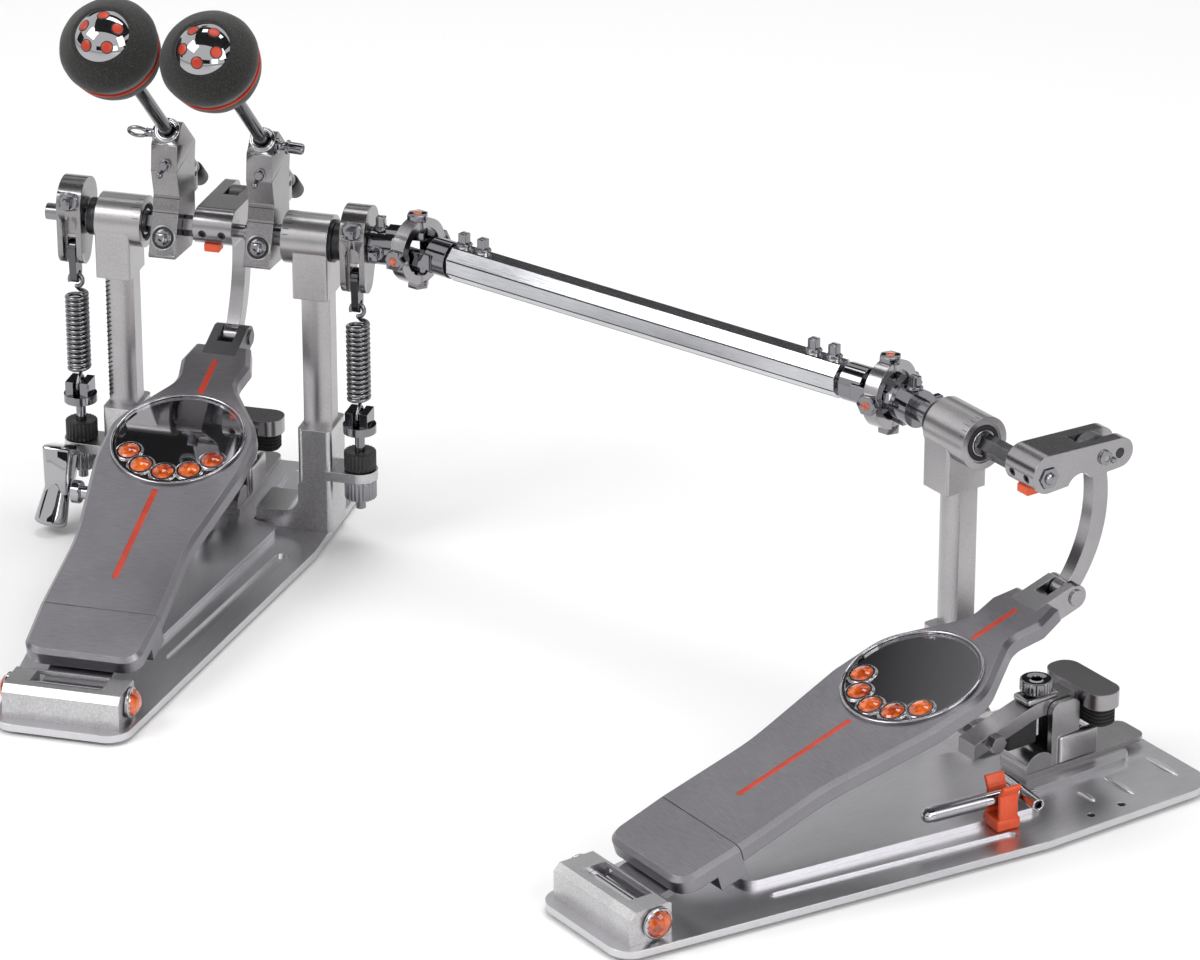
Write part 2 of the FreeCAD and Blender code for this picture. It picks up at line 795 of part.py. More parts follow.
def link():
    low_y, low_z = toe_pin_place()
    top = V(cam_pin_y, cam_pin_z, 0)
    low = V(low_y, low_z, 0)
    along = (low - top).normalize()
    outward = V(-along.y, along.x, 0)
    middle = (top + low) / 2 + outward * link_bow
    half = outward * (link_width / 2)
    band = Part.Wire([
        Part.Arc(top + half, middle + half, low + half).toShape(),
        Part.LineSegment(low + half, low - half).toShape(),
        Part.Arc(low - half, middle - half, top - half).toShape(),
        Part.LineSegment(top - half, top + half).toShape(),
    ])
    x0 = -link_thickness / 2
    bar = to_side(Part.Face(band).extrude(V(0, 0, link_thickness)), x0)
    eyes = [rod_x(x0, -x0, cam_pin_y, cam_pin_z, link_eye_r), rod_x(x0, -x0, low_y, low_z, link_eye_r)]
    body = fused([bar] + eyes)
    body = body.cut(drill_x(x0, -x0, cam_pin_y, cam_pin_z, cam_pin_r + running_clearance))
    return body.cut(drill_x(x0, -x0, low_y, low_z, toe_pin_r + link_low_clearance))


def cam():
    """Forked cam with its pin, a spare pin hole and two set screws."""
    hub = (0, axle_height + cam_hub_rise)
    tip = (cam_tip_y, cam_pin_z)
    body = side_bar(hub, cam_hub_r, tip, cam_tip_r, -cam_half, cam_half)
    notch = drill_x(-cam_half, cam_half, cam_notch_y, axle_height - cam_notch_drop, cam_notch_r)
    fork = box(-cam_fork_half, cam_fork_half, cam_fork_y, cam_tip_y + cam_tip_r + overrun,
               axle_height - cam_hub_r - cam_notch_r, axle_height + cam_hub_r + cam_notch_r)
    body = body.cut(notch).cut(fork)
    bore_start = V(-cam_half - overrun, 0, axle_height)
    body = body.cut(prism(bore_start, X_AXIS, 6, axle_hex + 2 * running_clearance, 2 * (cam_half + overrun)))
    body = body.cut(drill_x(-cam_half, cam_half, cam_pin_y, cam_pin_z, cam_pin_r + running_clearance))
    body = body.cut(drill_x(-cam_half, cam_half, cam_spare_y, cam_pin_z, cam_spare_r))
    for x in (-cam_screw_x, cam_screw_x):
        body = body.cut(rod(V(x, -cam_hub_r - overrun, axle_height), Y_AXIS, cam_screw_r,
                            cam_screw_depth + overrun))
    pin = rod_x(-cam_half, cam_half, cam_pin_y, cam_pin_z, cam_pin_r)
    head = rod_x(cam_half, cam_half + cam_pin_head, cam_pin_y, cam_pin_z, cam_pin_head_r)
    return Part.makeCompound([body, fused([pin, head, mirrored(head)])])


def post_face():
    """Post section in plan: flat sides, chamfered corners and a round front."""
    half = post_width / 2
    back = post_y + post_depth / 2
    front = post_y - post_depth / 2
    shoulder = front + post_bulge
    c = post_chamfer
    ring = [V(half, shoulder, 0), V(half, back - c, 0), V(half - c, back, 0), V(c - half, back, 0),
            V(-half, back - c, 0), V(-half, shoulder, 0)]
    edges = [Part.LineSegment(ring[i], ring[i + 1]).toShape() for i in range(len(ring) - 1)]
    edges.append(Part.Arc(ring[-1], V(0, front, 0), ring[0]).toShape())
    return Part.Face(Part.Wire(edges))


def post_bar(z0, z1):
    bar = post_face().extrude(V(0, 0, z1 - z0))
    bar.translate(V(post_x, 0, z0))
    return bar


def post():
    return post_bar(foot_top_z - socket_depth, housing_bottom_z + housing_post_depth)


def foot(with_ear):
    """Right-hand foot: tower, inward bar with a large fillet and, on the main pedal, the adjuster's ear."""
    corner = foot_fillet
    tower = [
        (foot_inner_x, foot_front_y, foot_chamfer),
        (foot_outer_x, foot_front_y, foot_chamfer),
        (foot_outer_x, foot_back_y, foot_chamfer),
        (foot_inner_x, foot_back_y, foot_chamfer),
    ]
    body = slab(tower, plate_top_z, foot_top_z)
    profile = [
        (foot_bar_inner_x, plate_top_z, 0),
        (foot_inner_x + foot_chamfer, plate_top_z, 0),
        (foot_inner_x + foot_chamfer, foot_bar_top_z + corner + foot_chamfer, 0),
        (foot_inner_x, foot_bar_top_z + corner, 0),
        (foot_inner_x, foot_bar_top_z, corner),
        (foot_bar_inner_x, foot_bar_top_z, 0),
    ]
    bar = Part.Face(rounded_wire(profile)).extrude(V(0, 0, foot_depth))
    bar.Placement = FreeCAD.Placement(V(0, foot_back_y, 0), FreeCAD.Rotation(X_AXIS, 90))
    shapes = [body, bar]
    if with_ear:
        arm = box(foot_outer_x - foot_chamfer, spring_x, spring_y - ear_r, spring_y + ear_r,
                  ear_bottom_z, ear_top_z)
        eye = rod(V(spring_x, spring_y, ear_bottom_z), Z_AXIS, ear_r, ear_top_z - ear_bottom_z)
        shapes += [arm, eye]
    body = fused(shapes)
    if with_ear:
        body = body.cut(rod(V(spring_x, spring_y, ear_bottom_z - overrun), Z_AXIS, rod_r + running_clearance,
                            ear_top_z - ear_bottom_z + 2 * overrun))
    return body.cut(post_bar(foot_top_z - socket_depth, foot_top_z + overrun))


def housing(out):
    """Barrel and leg on the post, which stands further out by the given amount."""
    end = housing_outer_x + out
    half = housing_width / 2
    barrel = rod_x(housing_inner_x, post_x + half + out, 0, axle_height, housing_r)
    nose = rod_x(housing_inner_x, end, 0, axle_height, housing_nose_r)
    front = -housing_front_depth
    back = housing_back_depth
    r = housing_chamfer
    leg = slab([(post_x - half, front, r), (post_x + half, front, r), (post_x + half, back, r),
                (post_x - half, back, r)], housing_bottom_z, axle_height)
    leg = leg.cut(post_bar(housing_bottom_z - overrun, housing_bottom_z + housing_post_depth))
    leg.translate(V(out, 0, 0))
    body = fused([barrel, nose, leg])
    body = body.cut(drill_x(housing_inner_x, end, 0, axle_height, bearing_bore_r + body_clearance))
    return body.cut(rod_x(housing_inner_x - overrun, housing_inner_x + bearing_set_back + bearing_width,
                          0, axle_height, bearing_r))


def bearing_housing(out):
    """Right-hand housing with its bearing."""
    start = housing_inner_x + bearing_set_back
    bearing = rod_x(start, start + bearing_width, 0, axle_height, bearing_r)
    bearing = bearing.cut(drill_x(start, start + bearing_width, 0, axle_height, bearing_bore_r))
    return Part.makeCompound([housing(out), bearing])


def journal_r():
    return bearing_bore_r - running_clearance


def main_axle():
    """Hexagon through the cam, round through the left bearing, and a thin journal inside the second axle."""
    outer = rocker_outer_x
    shapes = [
        rod_x(-outer - axle_tip_length, -outer, 0, axle_height, axle_tip_r),
        rod_x(-outer, -housing_inner_x, 0, axle_height, journal_r()),
        prism(V(-housing_inner_x, 0, axle_height), X_AXIS, 6, axle_hex, housing_inner_x + cam_half),
        rod_x(cam_half, axle_journal_x, 0, axle_height, axle_journal_r),
    ]
    return fused(shapes)


def second_axle():
    body = rod_x(second_axle_x, second_axle_end_x, 0, axle_height, journal_r())
    pocket = axle_journal_x + body_clearance
    bore_r = axle_journal_r + running_clearance
    return body.cut(rod_x(second_axle_x - overrun, pocket, 0, axle_height, bore_r))


def slave_axle():
    end = -slave_joint_x - fork_root - axle_short
    round_part = rod_x(-end, -housing_inner_x, 0, axle_height, journal_r())
    hexagon = prism(V(-housing_inner_x, 0, axle_height), X_AXIS, 6, axle_hex,
                    housing_inner_x + slave_axle_end_x)
    return fused([round_part, hexagon])


def key_bolt(start, axis, radius, collar):
    """Bolt head with a round collar and the square end that a drum key turns."""
    head = rod(start, axis, radius, collar)
    tail = prism(start + axis * collar, axis, 4, key_square, key_square_length)
    return fused([head, tail])


def rocker():
    """Right-hand rocker: a slotted lever with the strap's pin across the slot, and its clamping bolt."""
    x0 = rocker_inner_x
    x1 = rocker_outer_x
    body = side_bar((0, rocker_top_z), rocker_top_r, (rocker_pin_y, rocker_pin_z), rocker_low_r, x0, x1)
    slot = box(spring_x - rocker_slot_half, spring_x + rocker_slot_half, -rocker_top_r * 2, rocker_top_r * 2,
               rocker_pin_z - rocker_low_r * 2, rocker_pin_z + rocker_slot_r)
    body = body.cut(slot)
    pin = rod_x(x0, x1, rocker_pin_y, rocker_pin_z, rocker_pin_r)
    body = fused([body, pin])
    body = body.cut(drill_x(x0, x1, 0, axle_height, journal_r() + running_clearance))
    front = -math.sqrt(rocker_top_r ** 2 - (rocker_bolt_z - rocker_top_z) ** 2)
    seat = rod(V(spring_x, front - overrun, rocker_bolt_z), Y_AXIS, rocker_bolt_r, overrun + rocker_bolt_head)
    body = body.cut(seat)
    bolt = key_bolt(V(spring_x, front + rocker_bolt_head, rocker_bolt_z), -Y_AXIS, rocker_bolt_r,
                    rocker_bolt_head)
    return Part.makeCompound([body, bolt])


def strap():
    """Flat strap that hangs from the rocker's pin; its upper eye has room because the pin moves on an arc."""
    x0 = spring_x - strap_thickness / 2
    x1 = spring_x + strap_thickness / 2
    body = side_bar((rocker_pin_y, rocker_pin_z), strap_eye_r, (spring_y, strap_hook_z), strap_hook_r, x0, x1)
    body = body.cut(box(x0 - overrun, x1 + overrun, spring_y - strap_eye_r * 2, spring_y + strap_eye_r * 2,
                        strap_hook_z - strap_hook_r * 2, strap_bottom_z))
    body = body.cut(drill_x(x0, x1, rocker_pin_y, rocker_pin_z, rocker_pin_r + strap_open_clearance))
    return body.cut(drill_x(x0, x1, spring_y, strap_hook_z, strap_hook_hole_r))


def arc_from(first, corner, last):
    """Tangent arc from first to last, whose end tangents meet at corner."""
    middle = (first + last) / 2
    share = (last - first).Length / 2 / (corner - first).Length
    return Part.Arc(first, middle + (corner - middle) * (share / (1 + share)), last).toShape()


def biarc(p0, t0, p1, t1):
    """Two tangent arcs from p0 along t0 to p1 along t1."""
    v = p1 - p0
    turn = 2 * (1 - t0.dot(t1))
    along = v.dot(t0 + t1)
    reach = (math.sqrt(along ** 2 + turn * v.dot(v)) - along) / turn
    joint = (p0 + p1 + (t0 - t1) * reach) / 2
    return [arc_from(p0, p0 + t0 * reach, joint), arc_from(joint, p1 - t1 * reach, p1)]


def spring():
    """One unbroken coil; each end swings in to the middle and runs straight to what it hangs on."""
    pitch = (spring_top_z - spring_bottom_z) / spring_turns
    stations = []
    wire = 2 * spring_wire_r
    low_end = V(0, 0, swivel_pin_z + swivel_pin_r)
    high_end = V(0, 0, strap_bottom_z)
    stations.append((V(0, 0, low_end.z + wire), Z_AXIS))
    climb = pitch / (2 * math.pi * spring_r)
    for i in range(4 * spring_turns + 1):
        angle = math.pi / 2 * i
        tangent = V(-math.sin(angle), math.cos(angle), climb).normalize()
        spot = V(spring_r * math.cos(angle), spring_r * math.sin(angle), spring_bottom_z + pitch * i / 4)
        stations.append((spot, tangent))
    stations.append((V(0, 0, high_end.z - wire), Z_AXIS))
    edges = [Part.LineSegment(low_end, stations[0][0]).toShape()]
    for (p0, t0), (p1, t1) in zip(stations, stations[1:]):
        edges += biarc(p0, t0, p1, t1)
    edges.append(Part.LineSegment(stations[-1][0], high_end).toShape())
    path = Part.Wire(edges)
    ring = Part.Wire([Part.Circle(low_end, Z_AXIS, spring_wire_r).toShape()])
    tube = path.makePipeShell([ring], True, False)
    print("spring least gap", round(coil_gap(path), 3), "mm, volume over section times length",
          round(tube.Volume / (math.pi * spring_wire_r ** 2 * path.Length), 4))
    tube.translate(V(spring_x, spring_y, 0))
    return tube


def coil_gap(path):
    """Least distance between stretches of the wire that are not neighbours, less the wire itself."""
    points = path.discretize(Distance=spring_wire_r)
    skip = int(math.pi * spring_r / spring_wire_r)
    least = path.Length
    for i, here in enumerate(points):
        for there in points[i + skip:i + 4 * skip]:
            least = min(least, (there - here).Length)
    return least - 2 * spring_wire_r


def spring_hanger():
    """Threaded rod with the two-eared swivel that holds the spring's lower end."""
    centre = V(spring_x, spring_y, 0)
    stem = rod(centre + V(0, 0, rod_bottom_z), Z_AXIS, rod_r, swivel_bottom_z - rod_bottom_z)
    disc = rod(centre + V(0, 0, swivel_bottom_z), Z_AXIS, swivel_r, swivel_disc)
    low = swivel_bottom_z + swivel_disc
    shapes = [stem, disc]
    for side in (-1, 1):
        inner = spring_x + side * swivel_ear_gap
        outer = spring_x + side * swivel_ear_half
        ear = box(min(inner, outer), max(inner, outer), spring_y - swivel_ear_half,
                  spring_y + swivel_ear_half, low - swivel_disc / 2, swivel_ear_top_z)
        shapes.append(ear)
    shapes.append(rod_x(spring_x - swivel_ear_half, spring_x + swivel_ear_half, spring_y, swivel_pin_z,
                        swivel_pin_r))
    return fused(shapes)


def fluted_knob(z0, z1, radius):
    body = rod(V(spring_x, spring_y, z0), Z_AXIS, radius, z1 - z0)
    for i in range(knob_flutes):
        angle = 2 * math.pi * i / knob_flutes
        spot = V(spring_x + radius * math.cos(angle), spring_y + radius * math.sin(angle), z0 - overrun)
        body = body.cut(rod(spot, Z_AXIS, knob_flute_r, z1 - z0 + 2 * overrun))
    hole = rod(V(spring_x, spring_y, z0 - overrun), Z_AXIS, rod_r + running_clearance, z1 - z0 + 2 * overrun)
    return body.cut(hole)


def tension_knobs():
    """Black locking knob above the ear and bright tension nut below it."""
    return Part.makeCompound([
        fluted_knob(lock_knob_bottom_z, lock_knob_top_z, lock_knob_r),
        fluted_knob(tension_nut_bottom_z, tension_nut_top_z, lock_knob_r),
    ])


def beater_point(s, n):
    """Y and Z of a point s along the beater shaft and n square to it, away from the player."""
    y = beater_offset * beater_sin - s * beater_cos + n * beater_sin
    z = axle_height + beater_offset * beater_cos + s * beater_sin + n * beater_cos
    return y, z


def beater_axis():
    return V(0, -beater_cos, beater_sin)


def beater_spot(s):
    y, z = beater_point(s, 0)
    return V(beater_x, y, z)


def beater_holder():
    """Right-hand holder: cranked clamp body, its clamping bolt, and the wing bolt that grips the shaft."""
    head = [beater_point(holder_head_s, -holder_head_front), beater_point(holder_head_s, holder_head_rear),
            beater_point(holder_head_back_s, holder_head_rear)]
    r = holder_edge_radius
    corners = [
        (-holder_toe_y, axle_height - holder_toe_drop, r),
        (holder_rear_y - holder_rear_drop, axle_height - holder_bottom_drop, r),
        (holder_rear_y, axle_height - holder_rear_drop, r),
        (holder_rear_y, axle_height + holder_rear_rise, r),
        (head[2][0], head[2][1], r),
        (head[1][0], head[1][1], r),
        (head[0][0], head[0][1], r),
        (-holder_chest_y, axle_height + holder_chest_rise, r),
        (-holder_waist_y, axle_height + holder_waist_rise, r),
        (-holder_shoulder_y, axle_height + holder_shoulder_rise, r),
    ]
    x0 = beater_x - holder_width / 2
    x1 = beater_x + holder_width / 2
    body = side_slab(corners, x0, x1)
    body = body.cut(drill_x(x0, x1, 0, axle_height, journal_r() + running_clearance))
    start = beater_spot(holder_head_back_s - ball_r)
    body = body.cut(rod(start, beater_axis(), beater_shaft_r + running_clearance, holder_head_s + ball_r))
    shoulder = V(beater_x, -holder_shoulder_y, axle_height + holder_shoulder_rise)
    toe = V(beater_x, -holder_toe_y, axle_height - holder_toe_drop)
    out = (toe - shoulder).cross(X_AXIS).normalize()
    spot = shoulder + (toe - shoulder) * clamp_bolt_share
    body = body.cut(rod(spot + out * overrun, -out, clamp_bolt_r, overrun + clamp_bolt_seat))
    bolt = key_bolt(spot - out * clamp_bolt_seat, out, clamp_bolt_r, clamp_bolt_head)
    wing_y, wing_z = beater_point(wing_s, -wing_drop)
    stem = rod(V(x1, wing_y, wing_z), X_AXIS, wing_bolt_r, wing_bolt_length)
    wing_x = x1 + wing_bolt_length
    wing = box(wing_x, wing_x + wing_length, wing_y - wing_half, wing_y + wing_half,
               wing_z - wing_thickness / 2, wing_z + wing_thickness / 2)
    return Part.makeCompound([body, bolt, fused([stem, wing])])


def beater_shaft():
    length = ball_s - beater_tail_s
    shaft = rod(beater_spot(beater_tail_s), beater_axis(), beater_shaft_r, length)
    tail = rod(beater_spot(beater_tail_s), beater_axis(), beater_tail_r, beater_tail_length)
    return fused([shaft, tail])


def beater_head():
    """Two felts with a thin disc between them, turned about the shaft, and a bright domed cap on the end."""
    def at(radius, along):
        return V(radius, 0, along)

    seat_s = felt_top_s - dome_seat
    disc_end_s = felt_waist_s - disc_thickness
    corners = [at(0, seat_s), at(dome_r, seat_s), at(dome_r, felt_top_s)]
    edges = [Part.LineSegment(a, b).toShape() for a, b in zip(corners, corners[1:])]
    shoulder = at(felt_shoulder_r, felt_shoulder_s)
    edges.append(Part.Arc(at(dome_r, felt_top_s), shoulder, at(ball_r, felt_wide_s)).toShape())
    corners = [at(ball_r, felt_wide_s), at(felt_waist_r, felt_waist_s), at(disc_r, felt_waist_s),
               at(disc_r, disc_end_s), at(bowl_r, disc_end_s)]
    edges += [Part.LineSegment(a, b).toShape() for a, b in zip(corners, corners[1:])]
    side = at(bowl_side_r, bowl_side_s)
    edges.append(Part.Arc(at(bowl_r, disc_end_s), side, at(bowl_foot_r, bowl_foot_s)).toShape())
    corners = [at(bowl_foot_r, bowl_foot_s), at(ball_hub_r, ball_hub_start_s), at(ball_hub_r, ball_hub_end_s),
               at(beater_shaft_r, ball_hub_end_s), at(beater_shaft_r, 0), at(0, 0), at(0, seat_s)]
    edges += [Part.LineSegment(a, b).toShape() for a, b in zip(corners, corners[1:])]
    felt = Part.Face(Part.Wire(edges)).revolve(V(0, 0, 0), Z_AXIS, 360)
    sphere_r = (dome_r ** 2 + dome_rise ** 2) / (2 * dome_rise)
    dome = Part.makeSphere(sphere_r, at(0, seat_s + dome_rise - sphere_r))
    dome = dome.common(rod(at(0, seat_s), Z_AXIS, dome_r, dome_rise + overrun))
    place = FreeCAD.Placement(beater_spot(ball_s), FreeCAD.Rotation(Z_AXIS, beater_axis()))
    pieces = []
    for piece in (felt, dome):
        piece.Placement = place.multiply(piece.Placement)
        pieces.append(piece)
    return Part.makeCompound(pieces)


def joint_centres():
    """World places of the two ring centres, and the unit direction from the first to the second."""
    first = V(joint_x, 0, axle_height)
    turn = math.radians(slave_turn)
    second = V(slave_x + slave_joint_x * math.cos(turn), slave_y + slave_joint_x * math.sin(turn),
               axle_height)
    return first, second, (second - first).normalize()


def seated(shape, centre, axis):
    """Place a shape drawn with x along the shaft and z up at a ring centre."""
    across = Z_AXIS.cross(axis)
    shape.Placement = FreeCAD.Placement(centre, FreeCAD.Rotation(axis, across, Z_AXIS))
    return shape


def fork():
    """Sleeve, two fork arms and their upright trunnions, with the ring centre as the origin."""
    back = -fork_root - sleeve_length
    shapes = [rod_x(back, -fork_root, 0, 0, sleeve_r)]
    for side in (-1, 1):
        low, high = sorted((side * fork_inner_r, side * fork_outer_r))
        shapes.append(box(-fork_root - fork_half, fork_past, -fork_half, fork_half, low, high))
        shapes.append(rod(V(0, 0, side * fork_inner_r), Z_AXIS * side, trunnion_r,
                          trunnion_end_r - fork_inner_r))
    return fused(shapes)


def axle_yoke():
    """Fork with upright trunnions whose sleeve is held on the axle by two key bolts."""
    back = -fork_root - sleeve_length
    axle_end = second_axle_end_x - joint_x
    body = fork().cut(rod_x(back - overrun, axle_end, 0, 0, journal_r() + running_clearance))
    spot = back + sleeve_bolt_inset
    bolts = []
    for axis in (Z_AXIS, -Y_AXIS):
        start = axis * (sleeve_r - sleeve_bolt_seat) + V(spot, 0, 0)
        body = body.cut(rod(start, axis, sleeve_bolt_r, sleeve_bolt_seat + overrun))
        bolts.append(key_bolt(start, axis, sleeve_bolt_r, sleeve_bolt_collar))
    return [body] + bolts


def shaft_yoke(shank_radius, shank_length):
    """Fork with level trunnions on a round shank, drawn with the ring at the origin."""
    body = fork()
    body.rotate(V(0, 0, 0), X_AXIS, 90)
    shank = rod(V(-fork_root - shank_length, 0, 0), X_AXIS, shank_radius, shank_length)
    return fused([body, shank])


def joint_ring():
    """Ring with four bosses; the level holes have room because this is the joint's open pivot."""
    half = ring_width / 2
    shapes = [rod_x(-half, half, 0, 0, ring_r)]
    for axis in (Y_AXIS, -Y_AXIS, Z_AXIS, -Z_AXIS):
        shapes.append(rod(V(0, 0, 0), axis, boss_r, ring_r + boss_rise))
    body = fused(shapes).cut(drill_x(-half - boss_r, half + boss_r, 0, 0, ring_bore_r))
    long = 2 * (ring_r + boss_rise + overrun)
    body = body.cut(rod(V(0, 0, -long / 2), Z_AXIS, trunnion_r + running_clearance, long))
    return body.cut(rod(V(0, -long / 2, 0), Y_AXIS, trunnion_r + trunnion_open_clearance, long))


def drive_tube(length):
    """Faceted tube between the ring joints, drawn from the first ring centre, with its key bolts."""
    tube_length = length - tube_start - tube_end
    body = prism(V(tube_start, 0, 0), X_AXIS, tube_sides, tube_flats, tube_length)
    body = body.cut(drill_x(tube_start, tube_start + tube_length, 0, 0, shank_r + body_clearance))
    bolts = []
    for i in range(tube_bolts_per_end):
        step = i * tube_bolt_pitch
        for x in (tube_start + tube_bolt_inset + step, length - tube_end - tube_bolt_end_inset - step):
            bolts.append(key_bolt(V(x, 0, tube_flats / 2), Z_AXIS, tube_bolt_r, tube_bolt_collar))
    return [body] + bolts


def clamp_base_z():
    return rib_top_z + tongue_plate_thickness


def clamp_base():
    """Tongue plate under the hoop, stepped block, two cheeks and the jaw's pivot pin."""
    r = tongue_plate_radius
    half = tongue_plate_half
    tongue = slab([(half, clamp_floor_y, 0), (half, tongue_plate_end_y, r), (-half, tongue_plate_end_y, r),
                   (-half, clamp_floor_y, 0)], rib_top_z, clamp_base_z())
    outer = cheek_inner + cheek_thickness
    floor = box(-outer, outer, clamp_floor_y, step_end_y, clamp_base_z(), clamp_floor_top_z)
    step = side_slab([(cheek_back_y, clamp_base_z(), 0), (step_end_y, clamp_base_z(), 0),
                      (step_end_y, step_top_z, cheek_radius / 2), (cheek_front_y, step_top_z, 0),
                      (cheek_back_y, clamp_floor_top_z, 0)], -outer, outer)
    cheek = side_slab([(cheek_back_y, clamp_base_z(), 0), (cheek_front_y, clamp_base_z(), 0),
                       (cheek_front_y, cheek_top_z, cheek_radius), (cheek_back_y, cheek_top_z, cheek_radius)],
                      cheek_inner, outer)
    arch = rod_x(-outer, outer, arch_y, clamp_base_z(), arch_r)
    arch = arch.common(box(-outer, outer, arch_y - arch_r, cheek_back_y, clamp_base_z(),
                           clamp_base_z() + arch_r))
    body = fused([floor, arch, step, cheek, mirrored(cheek)])
    pocket = box(-cheek_inner, cheek_inner, cheek_back_y - overrun, cheek_front_y, clamp_floor_top_z,
                 cheek_top_z + overrun)
    body = body.cut(pocket)
    body = body.cut(drill_x(-outer, outer, jaw_pivot_y, jaw_pivot_z, jaw_pin_r))
    pin = rod_x(-outer, outer, jaw_pivot_y, jaw_pivot_z, jaw_pin_r)
    return [tongue, body, pin]


def clamp_jaw():
    """Curved arm that ends in a broad paddle."""
    top = arm_top_z
    low = arm_top_z - arm_thickness
    drop = arm_heel_drop
    arm_end_y = paddle_start_y + rubber_inset - body_clearance
    profile = [
        (arm_heel_y, low - drop, 0),
        (arm_bend_y, low, arm_bend_radius),
        (arm_end_y, low, 0),
        (arm_end_y, top, 0),
        (arm_bend_y, top, arm_bend_radius),
        (arm_heel_y, top - drop, 0),
    ]
    arm = side_slab(profile, -arm_half, arm_half)
    h = paddle_half
    r = paddle_radius
    paddle = slab([(h, paddle_start_y, r), (h, paddle_end_y, r), (-h, paddle_end_y, r),
                   (-h, paddle_start_y, r)], paddle_top_z - paddle_thickness, paddle_top_z)
    boss = rod_x(-arm_half, arm_half, jaw_pivot_y, jaw_pivot_z, jaw_boss_r)
    body = fused([arm, paddle, boss])
    body = body.cut(drill_x(-arm_half, arm_half, jaw_pivot_y, jaw_pivot_z, jaw_pin_r + running_clearance))
    stud = rod(V(0, collar_y, low - arm_thickness), Z_AXIS, collar_stud_r + running_clearance,
               3 * arm_thickness)
    return body.cut(stud)


def heel_bolts():
    """Hexagon bolt heads on the two sides of the slave jaw's heel."""
    z = arm_top_z - arm_thickness / 2 - arm_heel_drop * heel_bolt_share
    y = arm_bend_y + (arm_heel_y - arm_bend_y) * heel_bolt_share
    head = prism(V(arm_half, y, z), X_AXIS, 6, 2 * heel_bolt_r, heel_bolt_length)
    return [head, mirrored(head)]


def clamp_pad():
    h = paddle_half - rubber_inset
    r = paddle_radius - rubber_inset
    y0 = paddle_start_y + rubber_inset
    y1 = paddle_end_y - rubber_inset
    top = paddle_top_z - paddle_thickness
    return slab([(h, y0, r), (h, y1, r), (-h, y1, r), (-h, y0, r)], top - rubber_thickness, top)


def clamp_collar():
    """Knurled collar with a hexagon socket, its washer, and the stud that goes down through the jaw."""
    spot = V(0, collar_y, arm_top_z)
    washer = rod(spot, Z_AXIS, collar_washer_r, collar_washer)
    head = prism(spot + V(0, 0, collar_washer), Z_AXIS, knob_flutes, 2 * collar_r, collar_height)
    stud = rod(V(0, collar_y, collar_stud_bottom_z), Z_AXIS, collar_stud_r, arm_top_z - collar_stud_bottom_z)
    top = arm_top_z + collar_washer + collar_height
    socket = prism(V(0, collar_y, top - collar_socket_depth), Z_AXIS, 6, 2 * collar_socket_r,
                   collar_socket_depth + overrun)
    return fused([washer, head, stud]).cut(socket)


def clamp_lever():
    """Chunky lever on a cross shaft, with the eccentric that lifts the jaw's heel."""
    z = lever_z
    shaft = rod_x(lever_inner_x, cross_shaft_end_x, lever_y, z, cross_shaft_r)
    cam_half_width = eccentric_width / 2
    eccentric = rod_x(-cam_half_width, cam_half_width, lever_y, z - eccentric_throw, eccentric_r)
    x1 = lever_inner_x
    x0 = lever_inner_x - lever_width
    grip = side_slab([
        (lever_y - lever_top_half, z + lever_top, lever_round),
        (lever_y + lever_top_half, z + lever_top, lever_round),
        (lever_y + lever_neck, z, lever_round),
        (lever_y + lever_low_half, z - lever_low, lever_round),
        (lever_y - lever_low_half, z - lever_low, lever_round),
        (lever_y - lever_neck, z, lever_round),
    ], x0, x1)
    hub = rod_x(lever_inner_x - overrun, lever_inner_x + lever_hub_length, lever_y, z, lever_hub_r)
    return fused([shaft, eccentric, grip, hub])


def shaft_carriers():
    """Two upright carriers that hold the cross shaft."""
    carriers = []
    z = lever_z
    for x, floor in ((carrier_x, plate_top_z), (carrier_inner_x, rib_top_z)):
        x0 = x - carrier_width / 2
        x1 = x + carrier_width / 2
        body = side_slab([(lever_y - carrier_half, floor, 0), (lever_y + carrier_half, floor, 0),
                          (lever_y + carrier_half, z + carrier_half, carrier_half / 2),
                          (lever_y - carrier_half, z + carrier_half, carrier_half / 2)], x0, x1)
        carriers.append(body.cut(drill_x(x0, x1, lever_y, z, cross_shaft_r + running_clearance)))
    return carriers


def key_line():
    start = V(key_start_x, key_start_y, key_z)
    end = V(key_end_x, key_end_y, key_z)
    return start, end, (end - start).normalize()


def drum_key():
    """Round handle with a cross bar whose ends are sockets."""
    start, end, along = key_line()
    handle = rod(start, along, key_rod_r, (end - start).Length)
    knob = Part.makeSphere(key_rod_r, start)
    across = V(along.y, -along.x, 0)
    bar = rod(end - across * key_bar_half, across, key_bar_r, 2 * key_bar_half)
    body = fused([handle, knob, bar])
    for side in (-1, 1):
        mouth = end + across * (side * (key_bar_half - key_socket_depth))
        body = body.cut(prism(mouth, across * side, 4, 2 * key_socket_r, key_socket_depth + overrun))
    return body


def key_clip():
    """Springy clip on the plate that wraps round the key's handle and is open at the top."""
    start, end, along = key_line()
    inner = key_rod_r + body_clearance
    outer = inner + clip_wall
    mouth = key_rod_r * clip_mouth_share
    base = plate_top_z - key_z
    shapes = [
        rod_x(-clip_half, clip_half, 0, 0, outer),
        box(-clip_half, clip_half, -outer, outer, base, 0),
        box(-clip_half, clip_half, -outer, outer, 0, outer + clip_lip),
    ]
    body = fused(shapes)
    body = body.cut(drill_x(-clip_half, clip_half, 0, 0, inner))
    body = body.cut(box(-clip_half - overrun, clip_half + overrun, -mouth, mouth, 0,
                        outer + clip_lip + overrun))
    spot = start + (end - start) * clip_share
    return seated(body, spot, along).cut(base_plate())


